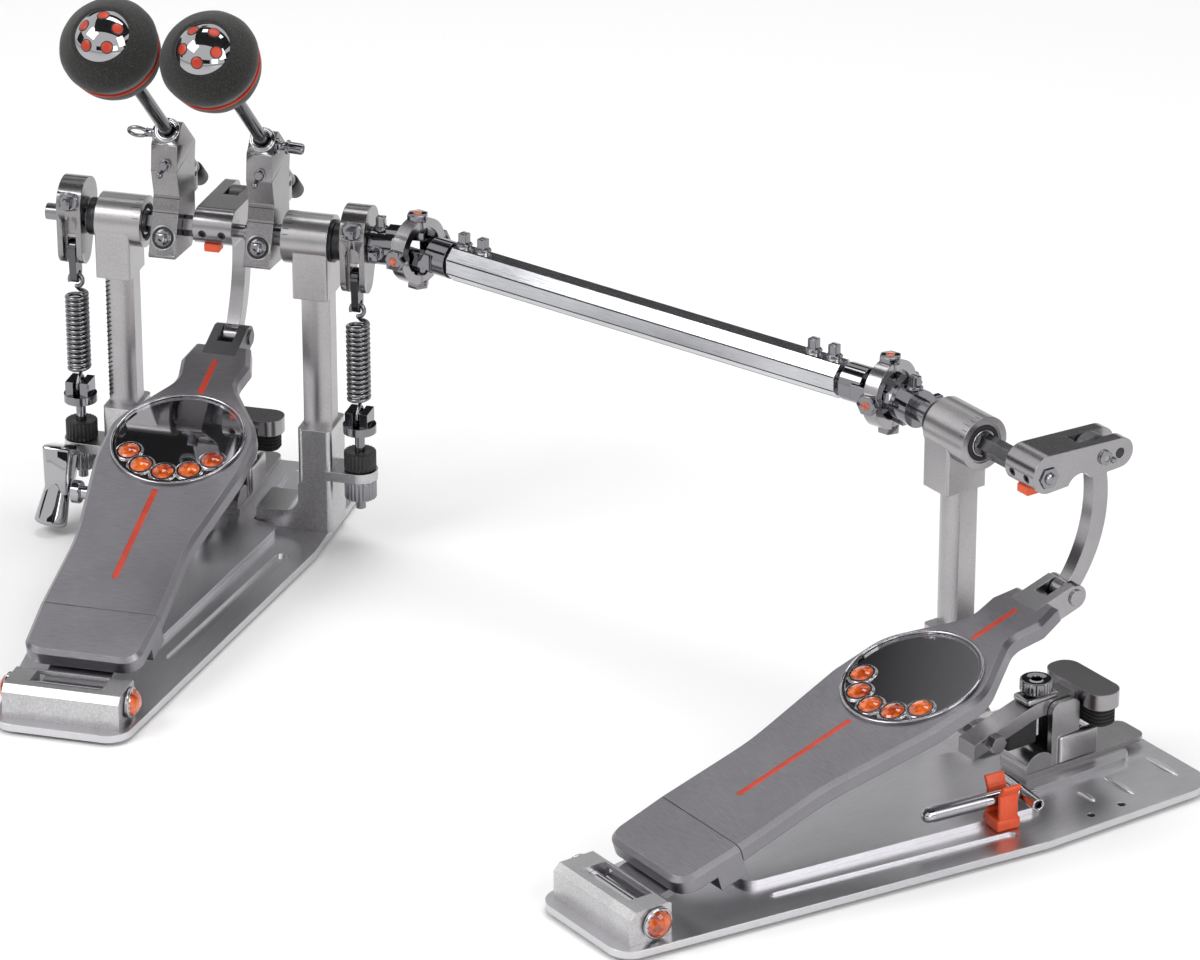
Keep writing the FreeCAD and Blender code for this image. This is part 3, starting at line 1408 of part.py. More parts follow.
def build():
    """Every piece by node name, in the part's own frame."""
    first, second, along = joint_centres()
    length = (second - first).Length
    parts = {}

    def pair(name, shape):
        parts["main_" + name] = shape
        parts["slave_" + name] = on_slave(shape)

    def both(shape):
        return Part.makeCompound([shape, mirrored(shape)])

    def further_out(shape):
        return shape.translated(V(-slave_post_out, 0, 0))

    pair("floor_pad", floor_pad())
    pair("base_plate", base_plate())
    pair("heel_block", heel_block())
    pair("hinge_rod", hinge_rod())
    pair("footboard", footboard())
    pair("medallion", medallion())
    pair("toe_clevis", toe_clevis())
    pair("link", link())
    pair("cam", cam())
    pair("clamp_pad", clamp_pad())
    pair("clamp_collar", clamp_collar())

    parts["main_feet"] = both(foot(True))
    parts["slave_foot"] = on_slave(further_out(mirrored(foot(False))))
    parts["main_posts"] = both(post())
    parts["slave_post"] = on_slave(further_out(mirrored(post())))
    parts["main_bearing_housings"] = both(bearing_housing(0))
    parts["slave_bearing_housing"] = on_slave(mirrored(bearing_housing(slave_post_out)))
    parts["spring_hangers"] = both(spring_hanger())

    parts["main_axle"] = main_axle()
    parts["second_axle"] = second_axle()
    parts["slave_axle"] = on_slave(slave_axle())
    for side, turned in (("right", lambda shape: shape), ("left", mirrored)):
        parts[side + "_rocker"] = turned(rocker())
        parts[side + "_strap"] = turned(strap())
        parts[side + "_spring"] = turned(spring())
        parts[side + "_tension_knobs"] = turned(tension_knobs())
    left_step = V(left_beater_inset, 0, 0)
    right_step = beater_axis() * -right_beater_down
    parts["right_beater_holder"] = beater_holder()
    parts["right_beater_shaft"] = beater_shaft().translated(right_step)
    parts["right_beater_head"] = beater_head().translated(right_step)
    parts["left_beater_holder"] = mirrored(beater_holder()).translated(left_step)
    parts["left_beater_shaft"] = mirrored(beater_shaft()).translated(left_step)
    parts["left_beater_head"] = mirrored(beater_head()).translated(left_step)

    turn = math.radians(slave_turn)
    slave_inward = V(-math.cos(turn), -math.sin(turn), 0)
    yoke_near = [seated(piece.copy(), first, X_AXIS) for piece in axle_yoke()]
    yoke_far = [seated(piece.copy(), second, slave_inward) for piece in axle_yoke()]
    parts["second_axle_yoke"] = Part.makeCompound(yoke_near)
    parts["slave_axle_yoke"] = Part.makeCompound(yoke_far)
    held_r = shank_r + body_clearance - running_clearance
    parts["drive_tube_yoke"] = seated(shaft_yoke(held_r, tube_start - fork_root + shank_grip), first, -along)
    parts["drive_rod_yoke"] = seated(shaft_yoke(shank_r, slave_shank_length), second, along)
    parts["main_joint_ring"] = seated(joint_ring(), first, along)
    parts["slave_joint_ring"] = seated(joint_ring(), second, along)
    tube = [seated(piece.copy(), first, along) for piece in drive_tube(length)]
    parts["drive_tube"] = Part.makeCompound(tube)

    parts["main_clamp_base"] = Part.makeCompound(clamp_base() + shaft_carriers())
    parts["slave_clamp_base"] = on_slave(Part.makeCompound(clamp_base()))
    parts["main_clamp_jaw"] = clamp_jaw()
    parts["slave_clamp_jaw"] = on_slave(Part.makeCompound([clamp_jaw()] + heel_bolts()))
    parts["main_clamp_lever"] = clamp_lever()
    parts["drum_key"] = on_slave(drum_key())
    parts["key_clip"] = on_slave(key_clip())
    return parts


os.makedirs("parts", exist_ok=True)
pieces = build()
for node, shape in pieces.items():
    shape.exportStep("parts/" + node + ".step")
print(len(pieces), "nodes,", sum(len(shape.Solids) for shape in pieces.values()), "solids")
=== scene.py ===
import bpy
import math
from mathutils import Matrix, Vector


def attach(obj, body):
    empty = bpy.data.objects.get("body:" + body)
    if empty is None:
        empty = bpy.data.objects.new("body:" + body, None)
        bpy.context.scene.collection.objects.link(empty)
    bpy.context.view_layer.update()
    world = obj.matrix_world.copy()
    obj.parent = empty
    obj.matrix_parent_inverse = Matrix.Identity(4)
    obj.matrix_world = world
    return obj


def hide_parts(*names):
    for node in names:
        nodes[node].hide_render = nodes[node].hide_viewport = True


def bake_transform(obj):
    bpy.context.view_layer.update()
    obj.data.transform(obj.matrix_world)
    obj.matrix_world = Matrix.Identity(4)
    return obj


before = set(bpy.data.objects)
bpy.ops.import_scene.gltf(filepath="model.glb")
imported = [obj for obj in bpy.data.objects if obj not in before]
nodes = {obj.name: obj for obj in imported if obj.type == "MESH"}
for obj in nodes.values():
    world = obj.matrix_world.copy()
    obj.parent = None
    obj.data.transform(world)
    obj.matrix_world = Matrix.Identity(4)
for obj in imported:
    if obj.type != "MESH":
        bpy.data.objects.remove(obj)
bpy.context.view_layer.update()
mm = 0.001

# Where the pedal's groups stand: single sizes in mm, places in metres as in the frame
axleZ = 190
springX = 87.5
hinge = Vector((0, -276.0, 16.6))
beaterLean = math.radians(42.6)
mainPlace = Matrix.Identity(4)
slavePlace = Matrix.Translation((533.35 * mm, -210.84 * mm, 0)) @ Matrix.Rotation(math.radians(-39.4), 4, "Z")
boardPlace = Matrix.Translation(hinge * mm) @ Matrix.Rotation(math.radians(16.82), 4, "X")
pedals = {"main": mainPlace, "slave": slavePlace}
beaterSides = (("left", -1, "main_axle"), ("right", 1, "second_axle"))
plusX, plusZ = Vector((1, 0, 0)), Vector((0, 0, 1))
bothSigns = (-1, 1)
weldGap = 0.002 * mm
# least run of an edge along an axis, and least lean of a flat face towards it
edgeRun, flatFace = 0.5 * mm, 0.9


# Small helpers for hand modelling
def pick(*parts):
    # object mode, with only these parts picked and the first of them active
    if bpy.context.mode != "OBJECT":
        bpy.ops.object.mode_set(mode="OBJECT")
    bpy.ops.object.select_all(action="DESELECT")
    for part in parts:
        part.select_set(True)
    if parts:
        bpy.context.view_layer.objects.active = parts[0]


def editWhere(obj, kind, test):
    # opens edit mode with only the wanted faces, by normal, or edges, by ends
    pick(obj)
    mesh = obj.data
    for part in (mesh.vertices, mesh.edges, mesh.polygons):
        part.foreach_set("select", [False] * len(part))
    if kind == "faces":
        for face in mesh.polygons:
            face.select = test(face.normal)
    else:
        for edge in mesh.edges:
            edge.select = test(*(mesh.vertices[i].co for i in edge.vertices))
    bpy.context.tool_settings.mesh_select_mode = (False, kind == "edges", kind == "faces")
    bpy.ops.object.mode_set(mode="EDIT")


def editAll():
    bpy.ops.object.mode_set(mode="EDIT")
    bpy.ops.mesh.select_all(action="SELECT")


def leaveEdit():
    bpy.ops.object.mode_set(mode="OBJECT")


def useModifier(obj, kind, **settings):
    pick(obj)
    modifier = obj.modifiers.new(kind.lower(), kind)
    for key, value in settings.items():
        setattr(modifier, key, value)
    bpy.ops.object.modifier_apply(modifier=modifier.name)


def easeEdges(obj, width, segments, angle):
    useModifier(obj, "BEVEL", width=width * mm, segments=segments, limit_method="ANGLE",
                angle_limit=math.radians(angle))


def settle(obj, name, place, angle):
    # puts the place into the mesh, welds it and smooths all but the sharp edges
    pick(obj)
    obj.name = obj.data.name = name
    bpy.context.view_layer.update()
    obj.data.transform(place @ obj.matrix_world)
    obj.matrix_world = Matrix.Identity(4)
    editAll()
    bpy.ops.mesh.remove_doubles(threshold=weldGap)
    bpy.ops.mesh.normals_make_consistent(inside=False)
    leaveEdit()
    bpy.ops.object.shade_smooth_by_angle(angle=math.radians(angle))
    return obj


def dress(obj, material):
    obj.data.materials.clear()
    obj.data.materials.append(material)


def addPiece(obj, name, body, material, place=mainPlace, angle=40):
    # finished work: settled, dressed and riding on its body
    settle(obj, name, place, angle)
    dress(obj, material)
    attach(obj, body)
    return obj


def copyOf(obj, place=mainPlace):
    twin = obj.copy()
    twin.data = obj.data.copy()
    bpy.context.scene.collection.objects.link(twin)
    twin.data.transform(place)
    return twin


def discard(masters):
    for master in masters:
        bpy.data.objects.remove(master)


def joinAll(parts):
    pick(*parts)
    if len(parts) > 1:
        bpy.ops.object.join()
    return parts[0]


def pointing(axis, spot):
    # matrix that stands local +Z along an axis at a spot in mm
    return Matrix.Translation(Vector(spot) * mm) @ Vector(axis).to_track_quat("Z", "Y").to_matrix().to_4x4()


def framed(axis, upHint, spot):
    # local +Z along the axis, local +Y as near the hint as it goes
    z = Vector(axis).normalized()
    x = Vector(upHint).cross(z).normalized()
    turn = Matrix((x, z.cross(x), z)).transposed().to_4x4()
    return Matrix.Translation(Vector(spot) * mm) @ turn


def stand(work, axis, spot):
    work.data.transform(pointing(axis, spot))
    return work


def turned(stations, sides=48):
    # lathe work: (radius, height) stations in mm, from the foot to the tip
    pick()
    bpy.ops.mesh.primitive_circle_add(vertices=sides, radius=stations[0][0] * mm, fill_type="NGON")
    work = bpy.context.object
    editAll()
    bpy.ops.transform.translate(value=(0, 0, stations[0][1] * mm))
    for (wide, low), (thin, high) in zip(stations, stations[1:]):
        bpy.ops.mesh.extrude_region_move(TRANSFORM_OT_translate={"value": (0, 0, (high - low) * mm)})
        bpy.ops.transform.resize(value=(thin / wide, thin / wide, 1))
    leaveEdit()
    return work


def lathed(stations, sides, axis, spot):
    return stand(turned(stations, sides), axis, spot)


def turnedPair(stations, sides, x, y, z):
    # the same lathe work facing out at -x and at +x
    return [lathed(stations, sides, (sign, 0, 0), (sign * x, y, z)) for sign in bothSigns]


def eased(points, steps=4):
    # the same stations with a smooth line drawn through them
    line = []
    for i in range(len(points) - 1):
        a, b, c, d = (Vector(points[min(max(i + k, 0), len(points) - 1)]) for k in (-1, 0, 1, 2))
        for j in range(steps):
            t = j / steps
            line.append(tuple(b + (c - a) * (t / 2) + (2 * a - 5 * b + 4 * c - d) * (t * t / 2)
                              + (3 * b - a - 3 * c + d) * (t ** 3 / 2)))
    return line + [tuple(points[-1])]


def upright(a, b):
    return abs(a.z - b.z) > edgeRun


def block(low, high, rounding, segments=3, only=None):
    # rounded block between two corners in mm; only picks the edges that are rounded
    pick()
    bpy.ops.mesh.primitive_cube_add(size=1)
    work = bpy.context.object
    work.scale = [(b - a) * mm for a, b in zip(low, high)]
    work.location = [(a + b) / 2 * mm for a, b in zip(low, high)]
    bpy.ops.object.transform_apply(location=True, scale=True)
    editWhere(work, "edges", only or (lambda a, b: True))
    bpy.ops.mesh.bevel(offset=rounding * mm, segments=segments)
    leaveEdit()
    return work


def blockPair(low, high, rounding, segments, only=None):
    # the same block at +x and at -x
    (x0, y0, z0), (x1, y1, z1) = low, high
    return [block(low, high, rounding, segments, only),
            block((-x1, y0, z0), (-x0, y1, z1), rounding, segments, only)]


def cylinder(radius, low, high, sides):
    # upright cylinder between two heights in mm
    pick()
    bpy.ops.mesh.primitive_cylinder_add(vertices=sides, radius=radius * mm, depth=(high - low) * mm,
                                        location=(0, 0, (low + high) / 2 * mm))
    bpy.ops.object.transform_apply(location=True)
    return bpy.context.object


def raiseTop(work, inset, rise):
    # insets the top face and lifts its middle
    editWhere(work, "faces", lambda normal: normal.z > flatFace)
    bpy.ops.mesh.inset(thickness=inset * mm)
    bpy.ops.transform.translate(value=(0, 0, rise * mm))
    leaveEdit()
    return work


def beadRing(radius, thick, flat=1.0):
    # round bead, or a flat washer where flat is small
    pick()
    bpy.ops.mesh.primitive_torus_add(major_segments=48, minor_segments=12, major_radius=radius * mm,
                                     minor_radius=thick * mm)
    ring = bpy.context.object
    ring.scale = (1, 1, flat)
    bpy.ops.object.transform_apply(scale=True)
    return ring


def bentWire(name, points, radius):
    # wire through points in mm
    curve = bpy.data.curves.new(name, "CURVE")
    curve.dimensions = "3D"
    curve.bevel_depth = radius * mm
    curve.bevel_resolution = 3
    curve.use_fill_caps = True
    spline = curve.splines.new("POLY")
    spline.points.add(len(points) - 1)
    for knot, spot in zip(spline.points, points):
        knot.co = (*(Vector(spot) * mm), 1)
    wire = bpy.data.objects.new(name, curve)
    bpy.context.scene.collection.objects.link(wire)
    pick(wire)
    bpy.ops.object.convert(target="MESH")
    return bpy.context.object


# Materials: every pattern is sized in millimetres on Object coordinates
surfaceCfg = {
    "metalStops": (0.42, 0.95), "metalBump": 0.35, "softBump": 0.6, "cloudShare": 0.35, "wipeSize": 9,
    # how fine and how harsh the noise is
    "markDetail": 5.0, "markGrit": 0.65, "wipeDetail": 4.0, "softGrit": 0.7,
}


def linear(hexColour):
    channels = [int(hexColour[i:i + 2], 16) / 255 for i in (1, 3, 5)]
    return [c / 12.92 if c <= 0.04045 else ((c + 0.055) / 1.055) ** 2.4 for c in channels] + [1.0]


def addNode(tree, kind, settings=None, links=None):
    node = tree.nodes.new(kind)
    for key, value in (settings or {}).items():
        if isinstance(key, str) and key in node.bl_rna.properties:
            setattr(node, key, value)
        else:
            node.inputs[key].default_value = value
    for key, source in (links or {}).items():
        tree.links.new(source, node.inputs[key])
    return node


def newMaterial(name, colour, metallic, roughness, **extra):
    material = bpy.data.materials.new(name)
    material.use_nodes = True
    tree = material.node_tree
    shader = tree.nodes["Principled BSDF"]
    shader.inputs["Base Color"].default_value = linear(colour)
    shader.inputs["Metallic"].default_value = metallic
    shader.inputs["Roughness"].default_value = roughness
    for key, value in extra.items():
        shader.inputs[key.replace("_", " ")].default_value = value
    return material, tree, shader


def plug(tree, shader, **sources):
    for key, source in sources.items():
        tree.links.new(source, shader.inputs[key.replace("_", " ")])


def objectCoords(tree):
    return addNode(tree, "ShaderNodeTexCoord").outputs["Object"]


def noise(tree, source, sizeMm, detail=2.0, roughness=0.5):
    settings = {"Scale": 1 / (sizeMm * mm), "Detail": detail, "Roughness": roughness}
    return addNode(tree, "ShaderNodeTexNoise", settings, {"Vector": source}).outputs["Fac"]


def ramp(tree, source, stops, colours):
    node = addNode(tree, "ShaderNodeValToRGB", None, {"Fac": source})
    for element, stop, colour in zip(node.color_ramp.elements, stops, colours):
        element.position = stop
        element.color = linear(colour)
    return node.outputs["Color"]


def toRange(tree, source, low, high):
    settings = {"To Min": low, "To Max": high}
    return addNode(tree, "ShaderNodeMapRange", settings, {"Value": source}).outputs["Result"]


def relief(tree, source, strength, heightMm, **links):
    settings = {"Strength": strength, "Distance": heightMm * mm}
    return addNode(tree, "ShaderNodeBump", settings, {"Height": source, **links}).outputs["Normal"]


def roundedNormal(tree, radiusMm):
    return addNode(tree, "ShaderNodeBevel", {"samples": 4, "Radius": radiusMm * mm}).outputs["Normal"]


def grainedMetal(name, colours, roughness, grain, height, edge=0.5, stretch=(1, 1, 1), place=mainPlace,
                 cloud=28):
    # metal whose machining or blasting marks vary colour, gloss and height; the marks are drawn out by
    # stretch along the axes of a turned piece, and the sizes are in mm
    cfg = surfaceCfg
    material, tree, shader = newMaterial(name, colours[0], 1.0, roughness[0])
    coords = objectCoords(tree)
    settings = {"vector_type": "TEXTURE", "Location": place.to_translation(), "Rotation": place.to_euler(),
                "Scale": [1 / s for s in stretch]}
    lay = addNode(tree, "ShaderNodeMapping", settings, {"Vector": coords}).outputs["Vector"]
    marks = noise(tree, lay, grain, cfg["markDetail"], cfg["markGrit"])
    patches = noise(tree, coords, cloud)
    blend = addNode(tree, "ShaderNodeMath", {"operation": "MULTIPLY_ADD", 1: cfg["cloudShare"]},
                    {0: patches, 2: marks})
    plug(tree, shader, Base_Color=ramp(tree, blend.outputs["Value"], cfg["metalStops"], colours),
         Roughness=toRange(tree, marks, *roughness),
         Normal=relief(tree, marks, cfg["metalBump"], height, Normal=roundedNormal(tree, edge)))
    return material


def polishedMetal(name, colour, roughness, edge=0.35):
    # plated steel: nearly clean mirror, with faint wipe marks that only change the gloss
    material, tree, shader = newMaterial(name, colour, 1.0, roughness[0])
    wipes = noise(tree, objectCoords(tree), surfaceCfg["wipeSize"], surfaceCfg["wipeDetail"])
    plug(tree, shader, Roughness=toRange(tree, wipes, *roughness), Normal=roundedNormal(tree, edge))
    return material


def mottled(name, colours, roughness, grain, height, detail=6.0, stops=(0.35, 0.7), **extra):
    # moulded, woven or painted surface; grain in mm sets the size of its mottling and its relief
    material, tree, shader = newMaterial(name, colours[0], 0.0, roughness[0], **extra)
    grains = noise(tree, objectCoords(tree), grain, detail, surfaceCfg["softGrit"])
    plug(tree, shader, Base_Color=ramp(tree, grains, stops, colours),
         Roughness=toRange(tree, grains, *roughness),
         Normal=relief(tree, grains, surfaceCfg["softBump"], height))
    return material


# Blasted cast aluminium: fine grit that breaks the reflection into a soft grey sheen
castAluminium = grainedMetal("castAluminium", ("#9B999B", "#BAB8B9"), (0.25, 0.32), 0.7, 0.02)
# Machined aluminium: tighter grain, so that flat faces go light or dark as a whole
machinedAluminium = grainedMetal("machinedAluminium", ("#908E90", "#ACAAAC"), (0.17, 0.24), 0.6, 0.01, 0.6)
# The same casting, rougher, with its colour darkened as painted shade
shadedCast = grainedMetal("shadedCast", ("#545355", "#7B7A7D"), (0.32, 0.46), 0.7, 0.05)
# Heel blocks and feet: the casting with its colour lightened as a painted highlight
litCastAluminium = grainedMetal("litCastAluminium", ("#A6A4A6", "#D6D5D6"), (0.24, 0.36), 0.9, 0.03)
# Holder arms and rockers: the casting, smoother, with its colour darkened as painted shade
shadedHolderCast = grainedMetal("shadedHolderCast", ("#777577", "#A5A3A4"), (0.17, 0.28), 0.7, 0.03, 0.8)
# Chromed steel: a hard mirror, its colour a shade darker than bright chrome as a painted dark reflection
chromePlate = polishedMetal("chromePlate", "#B4B3B7", (0.05, 0.12))
# Polished face of the medallion: a clean mirror, its colour darker than bright chrome as a painted dark
# reflection
polishedFace = polishedMetal("polishedFace", "#A09FA2", (0.02, 0.05), 0.3)
# Bolts and fittings: chrome with its colour darkened as a painted dark reflection
darkReflectionChrome = polishedMetal("darkReflectionChrome", "#858488", (0.05, 0.11))
# Beater shafts and straps: chrome with its colour darkened further as a painted dark reflection, all edge
# lights
deepReflectionChrome = polishedMetal("deepReflectionChrome", "#5F5E61", (0.06, 0.13))
# Nickelled spring wire, duller than chrome, its colour darkened further as painted shade of the close coils
nickelWire = polishedMetal("nickelWire", "#7C7B7E", (0.12, 0.2), 0.2)
# Plated steel plate: rolled lines along its length, drawn 0.6 mm wide so that they show
pressedPlate = {pedal: grainedMetal(pedal + "PressedPlate", ("#C6C5C8", "#D9D8DB"), (0.28, 0.34), 0.6, 0.004,
                                    0.7, (1, 0.05, 1), place, 60) for pedal, place in pedals.items()}
# Brushed anodised deck: lines across the board, drawn 0.4 mm wide so that they show
brushedDeck = {pedal: grainedMetal(pedal + "BrushedDeck", ("#7A787C", "#98969B"), (0.3, 0.42), 0.4, 0.015,
                                   0.6, (0.05, 1, 1), place @ boardPlace, 45)
               for pedal, place in pedals.items()}
# Drawn tube: long scratches along the drive shaft
tubePlace = Matrix.Rotation(math.atan2(-0.385, 0.923), 4, "Z")
drawnTube = grainedMetal("drawnTube", ("#AAABAF", "#D4D5D8"), (0.13, 0.2), 0.6, 0.003, 0.25, (0.04, 1, 1),
                         tubePlace)
# Buffed chrome of the domes and the thumb piece: a mirror with hardly any haze, its colour darker than bright
# chrome as a painted dark reflection
mirrorChrome = polishedMetal("mirrorChrome", "#A9A8AB", (0.015, 0.035), 0.2)
# Turned steel: greyer than chrome, with a satin haze
turnedSteel = polishedMetal("turnedSteel", "#8F8E92", (0.14, 0.26))
# Blackened steel: upright turning lines, dull sheen; the same dark colour also stands as painted shade at the
# tube's corners, the holder's creases, the bolt recess and the hub sockets
darkSteelAndShade = grainedMetal("darkSteelAndShade", ("#2C2C2E", "#4C4C4F"), (0.3, 0.45), 0.8, 0.04, 0.25, (1, 1, 0.2))
print("metals ready")

# Pressed wool felt: black with pale fibre ends, no gloss, a faint fuzz at the rim
blackFelt = mottled("blackFelt", ("#121211", "#4A4744"), (0.9, 1.0), 0.9, 0.5, 8.0, (0.5, 0.78),
                    Sheen_Weight=0.25)
# Stove enamel: even orange-red with a soft gloss
orangeEnamel = mottled("orangeEnamel", ("#A92B12", "#BF381C"), (0.34, 0.44), 12, 0.01, 2.0)
# Cut glass over a warm foil: amber that lightens in the depth, under a hard clear face
amberGlass = mottled("amberGlass", ("#8A2405", "#E0671C"), (0.05, 0.1), 7.0, 0.01, 2.0, (0.36, 0.66),
                     Coat_Weight=1.0)
# Moulded ABS: near black, fine spark grain; the same black also stands as painted shade in holes and sockets
blackPlasticAndHoleShade = mottled("blackPlasticAndHoleShade", ("#141415", "#222224"), (0.38, 0.5), 0.6, 0.03)
# Vulcanised rubber: dull charcoal, dusty in places
moulded = mottled("mouldedRubber", ("#17171A", "#29292B"), (0.7, 0.85), 1.4, 0.06)
# Injection moulded clip: bright orange nylon
orangeNylon = mottled("orangeNylon", ("#D64A22", "#EA6238"), (0.38, 0.48), 1.0, 0.02)

# each solid takes the finish of the longest of these endings that its name has
finishRows = [
    (moulded, "floor_pad clamp_pad"), (litCastAluminium, "heel_block main_feet slave_foot"),
    (chromePlate, "hinge_rod clamp_collar main_clamp_lever drum_key"), (polishedFace, "medallion"),
    (machinedAluminium, "toe_clevis link cam clamp_jaw joint_ring"), (shadedCast, "main_toe_clevis"),
    (castAluminium, "clamp_base posts slave_post housings housing beater_holder"), (shadedHolderCast, "rocker"),
    (darkReflectionChrome, "spring_hangers yoke"), (turnedSteel, "axle"), (deepReflectionChrome, "strap beater_shaft"),
    (nickelWire, "spring"), (blackPlasticAndHoleShade, "tension_knobs"), (blackFelt, "beater_head"),
    (drawnTube, "drive_tube"), (orangeNylon, "key_clip"),
]
finishes = {ending: material for material, endings in finishRows for ending in endings.split()}
for nodeName, nodeObject in nodes.items():
    pedal = "slave" if nodeName.startswith("slave") else "main"
    if nodeName.endswith("base_plate"):
        dress(nodeObject, pressedPlate[pedal])
    elif nodeName.endswith("footboard"):
        dress(nodeObject, brushedDeck[pedal])
    else:
        ending = max((e for e in finishes if nodeName.endswith(e)), key=len)
        dress(nodeObject, finishes[ending])
print("solids dressed:", len(nodes))

# Stage: pale floor, white surround, soft lights, camera as the photograph's
stageCfg = {
    "floorSize": 12.0, "floorAt": (0.25, 0.5, 0), "floorColour": "#F2F2F2", "floorGrain": 6,
    "floorRoughness": 0.7, "floorRelief": (0.05, 0.2),
    "camera": (1.09734, -3.18679, 1.57067), "aim": (-0.23777, 0.87717, -0.41718), "lens": 184.92,
    "sensor": 36.0, "farthest": 30, "worldStrength": 0.55,
    # name, place, aim, size x, size y, watts
    "lights": [
        ("keySoftbox", (-1.6, -1.4, 2.2), (0.25, -0.1, 0.1), 1.6, 1.2, 34),
        ("fillSoftbox", (2.6, -1.2, 1.5), (0.25, -0.1, 0.1), 1.2, 1.6, 20),
        ("topSoftbox", (0.3, 0.5, 2.4), (0.3, -0.1, 0.1), 2.0, 1.0, 26),
        ("frontSoftbox", (1.9, -2.4, 0.7), (0.25, -0.1, 0.1), 1.0, 0.7, 10),
    ],
    # cards that only polished metal mirrors: place, aim, width, height, and two colours where one fades
    "cards": [
        ((1.2, 0.15, 2.4), (1.2, 0.15, 0), 5.0, 3.0),
        ((-1.0, 2.05, 2.4), (-1.0, 2.05, 0), 0.6, 0.7, "#C0C0C2", "#4A4A4C"),
        ((0.3, -4.6, 0.9), (0.3, 0, 0.3), 3.4, 1.0),
        ((-3.2, -0.4, 0.9), (0.2, -0.1, 0.4), 1.6, 1.1),
        ((3.6, 0.1, 1.0), (0.3, -0.1, 0.4), 3.2, 1.3),
        ((-0.4, 3.0, 1.5), (0.3, -0.1, 0.1), 4.4, 0.9),
    ],
    "cardColour": "#242426", "cardRoughness": 0.8, "fadeFrom": -0.42, "fadeTo": -0.1,
}


def facing(spot, aim, front):
    return (Vector(aim) - Vector(spot)).to_track_quat(front, "Y").to_euler()


def paleFloor():
    pick()
    bpy.ops.mesh.primitive_plane_add(size=stageCfg["floorSize"], location=stageCfg["floorAt"])
    floor = bpy.context.object
    floor.name = "paleFloor"
    cfg = stageCfg
    material, tree, shader = newMaterial("paleFloorPaint", cfg["floorColour"], 0.0, cfg["floorRoughness"])
    rolled = noise(tree, objectCoords(tree), cfg["floorGrain"])
    plug(tree, shader, Normal=relief(tree, rolled, *cfg["floorRelief"]))
    dress(floor, material)


def mirrorCards():
    span = {"From Min": stageCfg["fadeFrom"], "From Max": stageCfg["fadeTo"]}
    for i, (spot, aim, width, height, *fade) in enumerate(stageCfg["cards"]):
        near, far = fade or [stageCfg["cardColour"]] * 2
        material, tree, shader = newMaterial(f"greyCard{i}", near, 0.0, stageCfg["cardRoughness"])
        across = addNode(tree, "ShaderNodeSeparateXYZ", None, {"Vector": objectCoords(tree)})
        share = addNode(tree, "ShaderNodeMapRange", span, {"Value": across.outputs["X"]})
        plug(tree, shader, Base_Color=ramp(tree, share.outputs["Result"], (0, 1), (near, far)))
        pick()
        bpy.ops.mesh.primitive_plane_add(size=1)
        card = bpy.context.object
        card.name = f"greyCard{i}"
        card.scale = (width, height, 1)
        card.location = spot
        card.rotation_euler = facing(spot, aim, "Z")
        card.visible_camera = card.visible_diffuse = card.visible_shadow = card.visible_transmission = False
        dress(card, material)


def studioLight():
    for name, spot, aim, width, height, power in stageCfg["lights"]:
        lamp = bpy.data.lights.new(name, "AREA")
        lamp.shape = "RECTANGLE"
        lamp.size, lamp.size_y, lamp.energy = width, height, power
        holder = bpy.data.objects.new(name, lamp)
        holder.location = spot
        holder.rotation_euler = facing(spot, aim, "-Z")
        bpy.context.scene.collection.objects.link(holder)
    world = bpy.data.worlds.new("studio")
    bpy.context.scene.world = world
    world.use_nodes = True
    tree = world.node_tree
    seen = addNode(tree, "ShaderNodeLightPath")
    white = addNode(tree, "ShaderNodeMath", {"operation": "MAXIMUM"},
                    {0: seen.outputs["Is Camera Ray"], 1: seen.outputs["Is Glossy Ray"]})
    level = toRange(tree, white.outputs["Value"], stageCfg["worldStrength"], 1.0)
    plug(tree, tree.nodes["Background"], Strength=level)
    tree.nodes["Background"].inputs["Color"].default_value = (1, 1, 1, 1)


def photoCamera():
    lens = bpy.data.cameras.new("photoCamera")
    lens.sensor_fit = "HORIZONTAL"
    lens.sensor_width = stageCfg["sensor"]
    lens.lens = stageCfg["lens"]
    lens.clip_end = stageCfg["farthest"]
    holder = bpy.data.objects.new("photoCamera", lens)
    holder.location = stageCfg["camera"]
    holder.rotation_euler = facing((0, 0, 0), stageCfg["aim"], "-Z")
    bpy.context.scene.collection.objects.link(holder)
    bpy.context.scene.camera = holder
    bpy.context.scene.view_settings.view_transform = "Standard"


paleFloor()
mirrorCards()
studioLight()
photoCamera()
print("stage set")

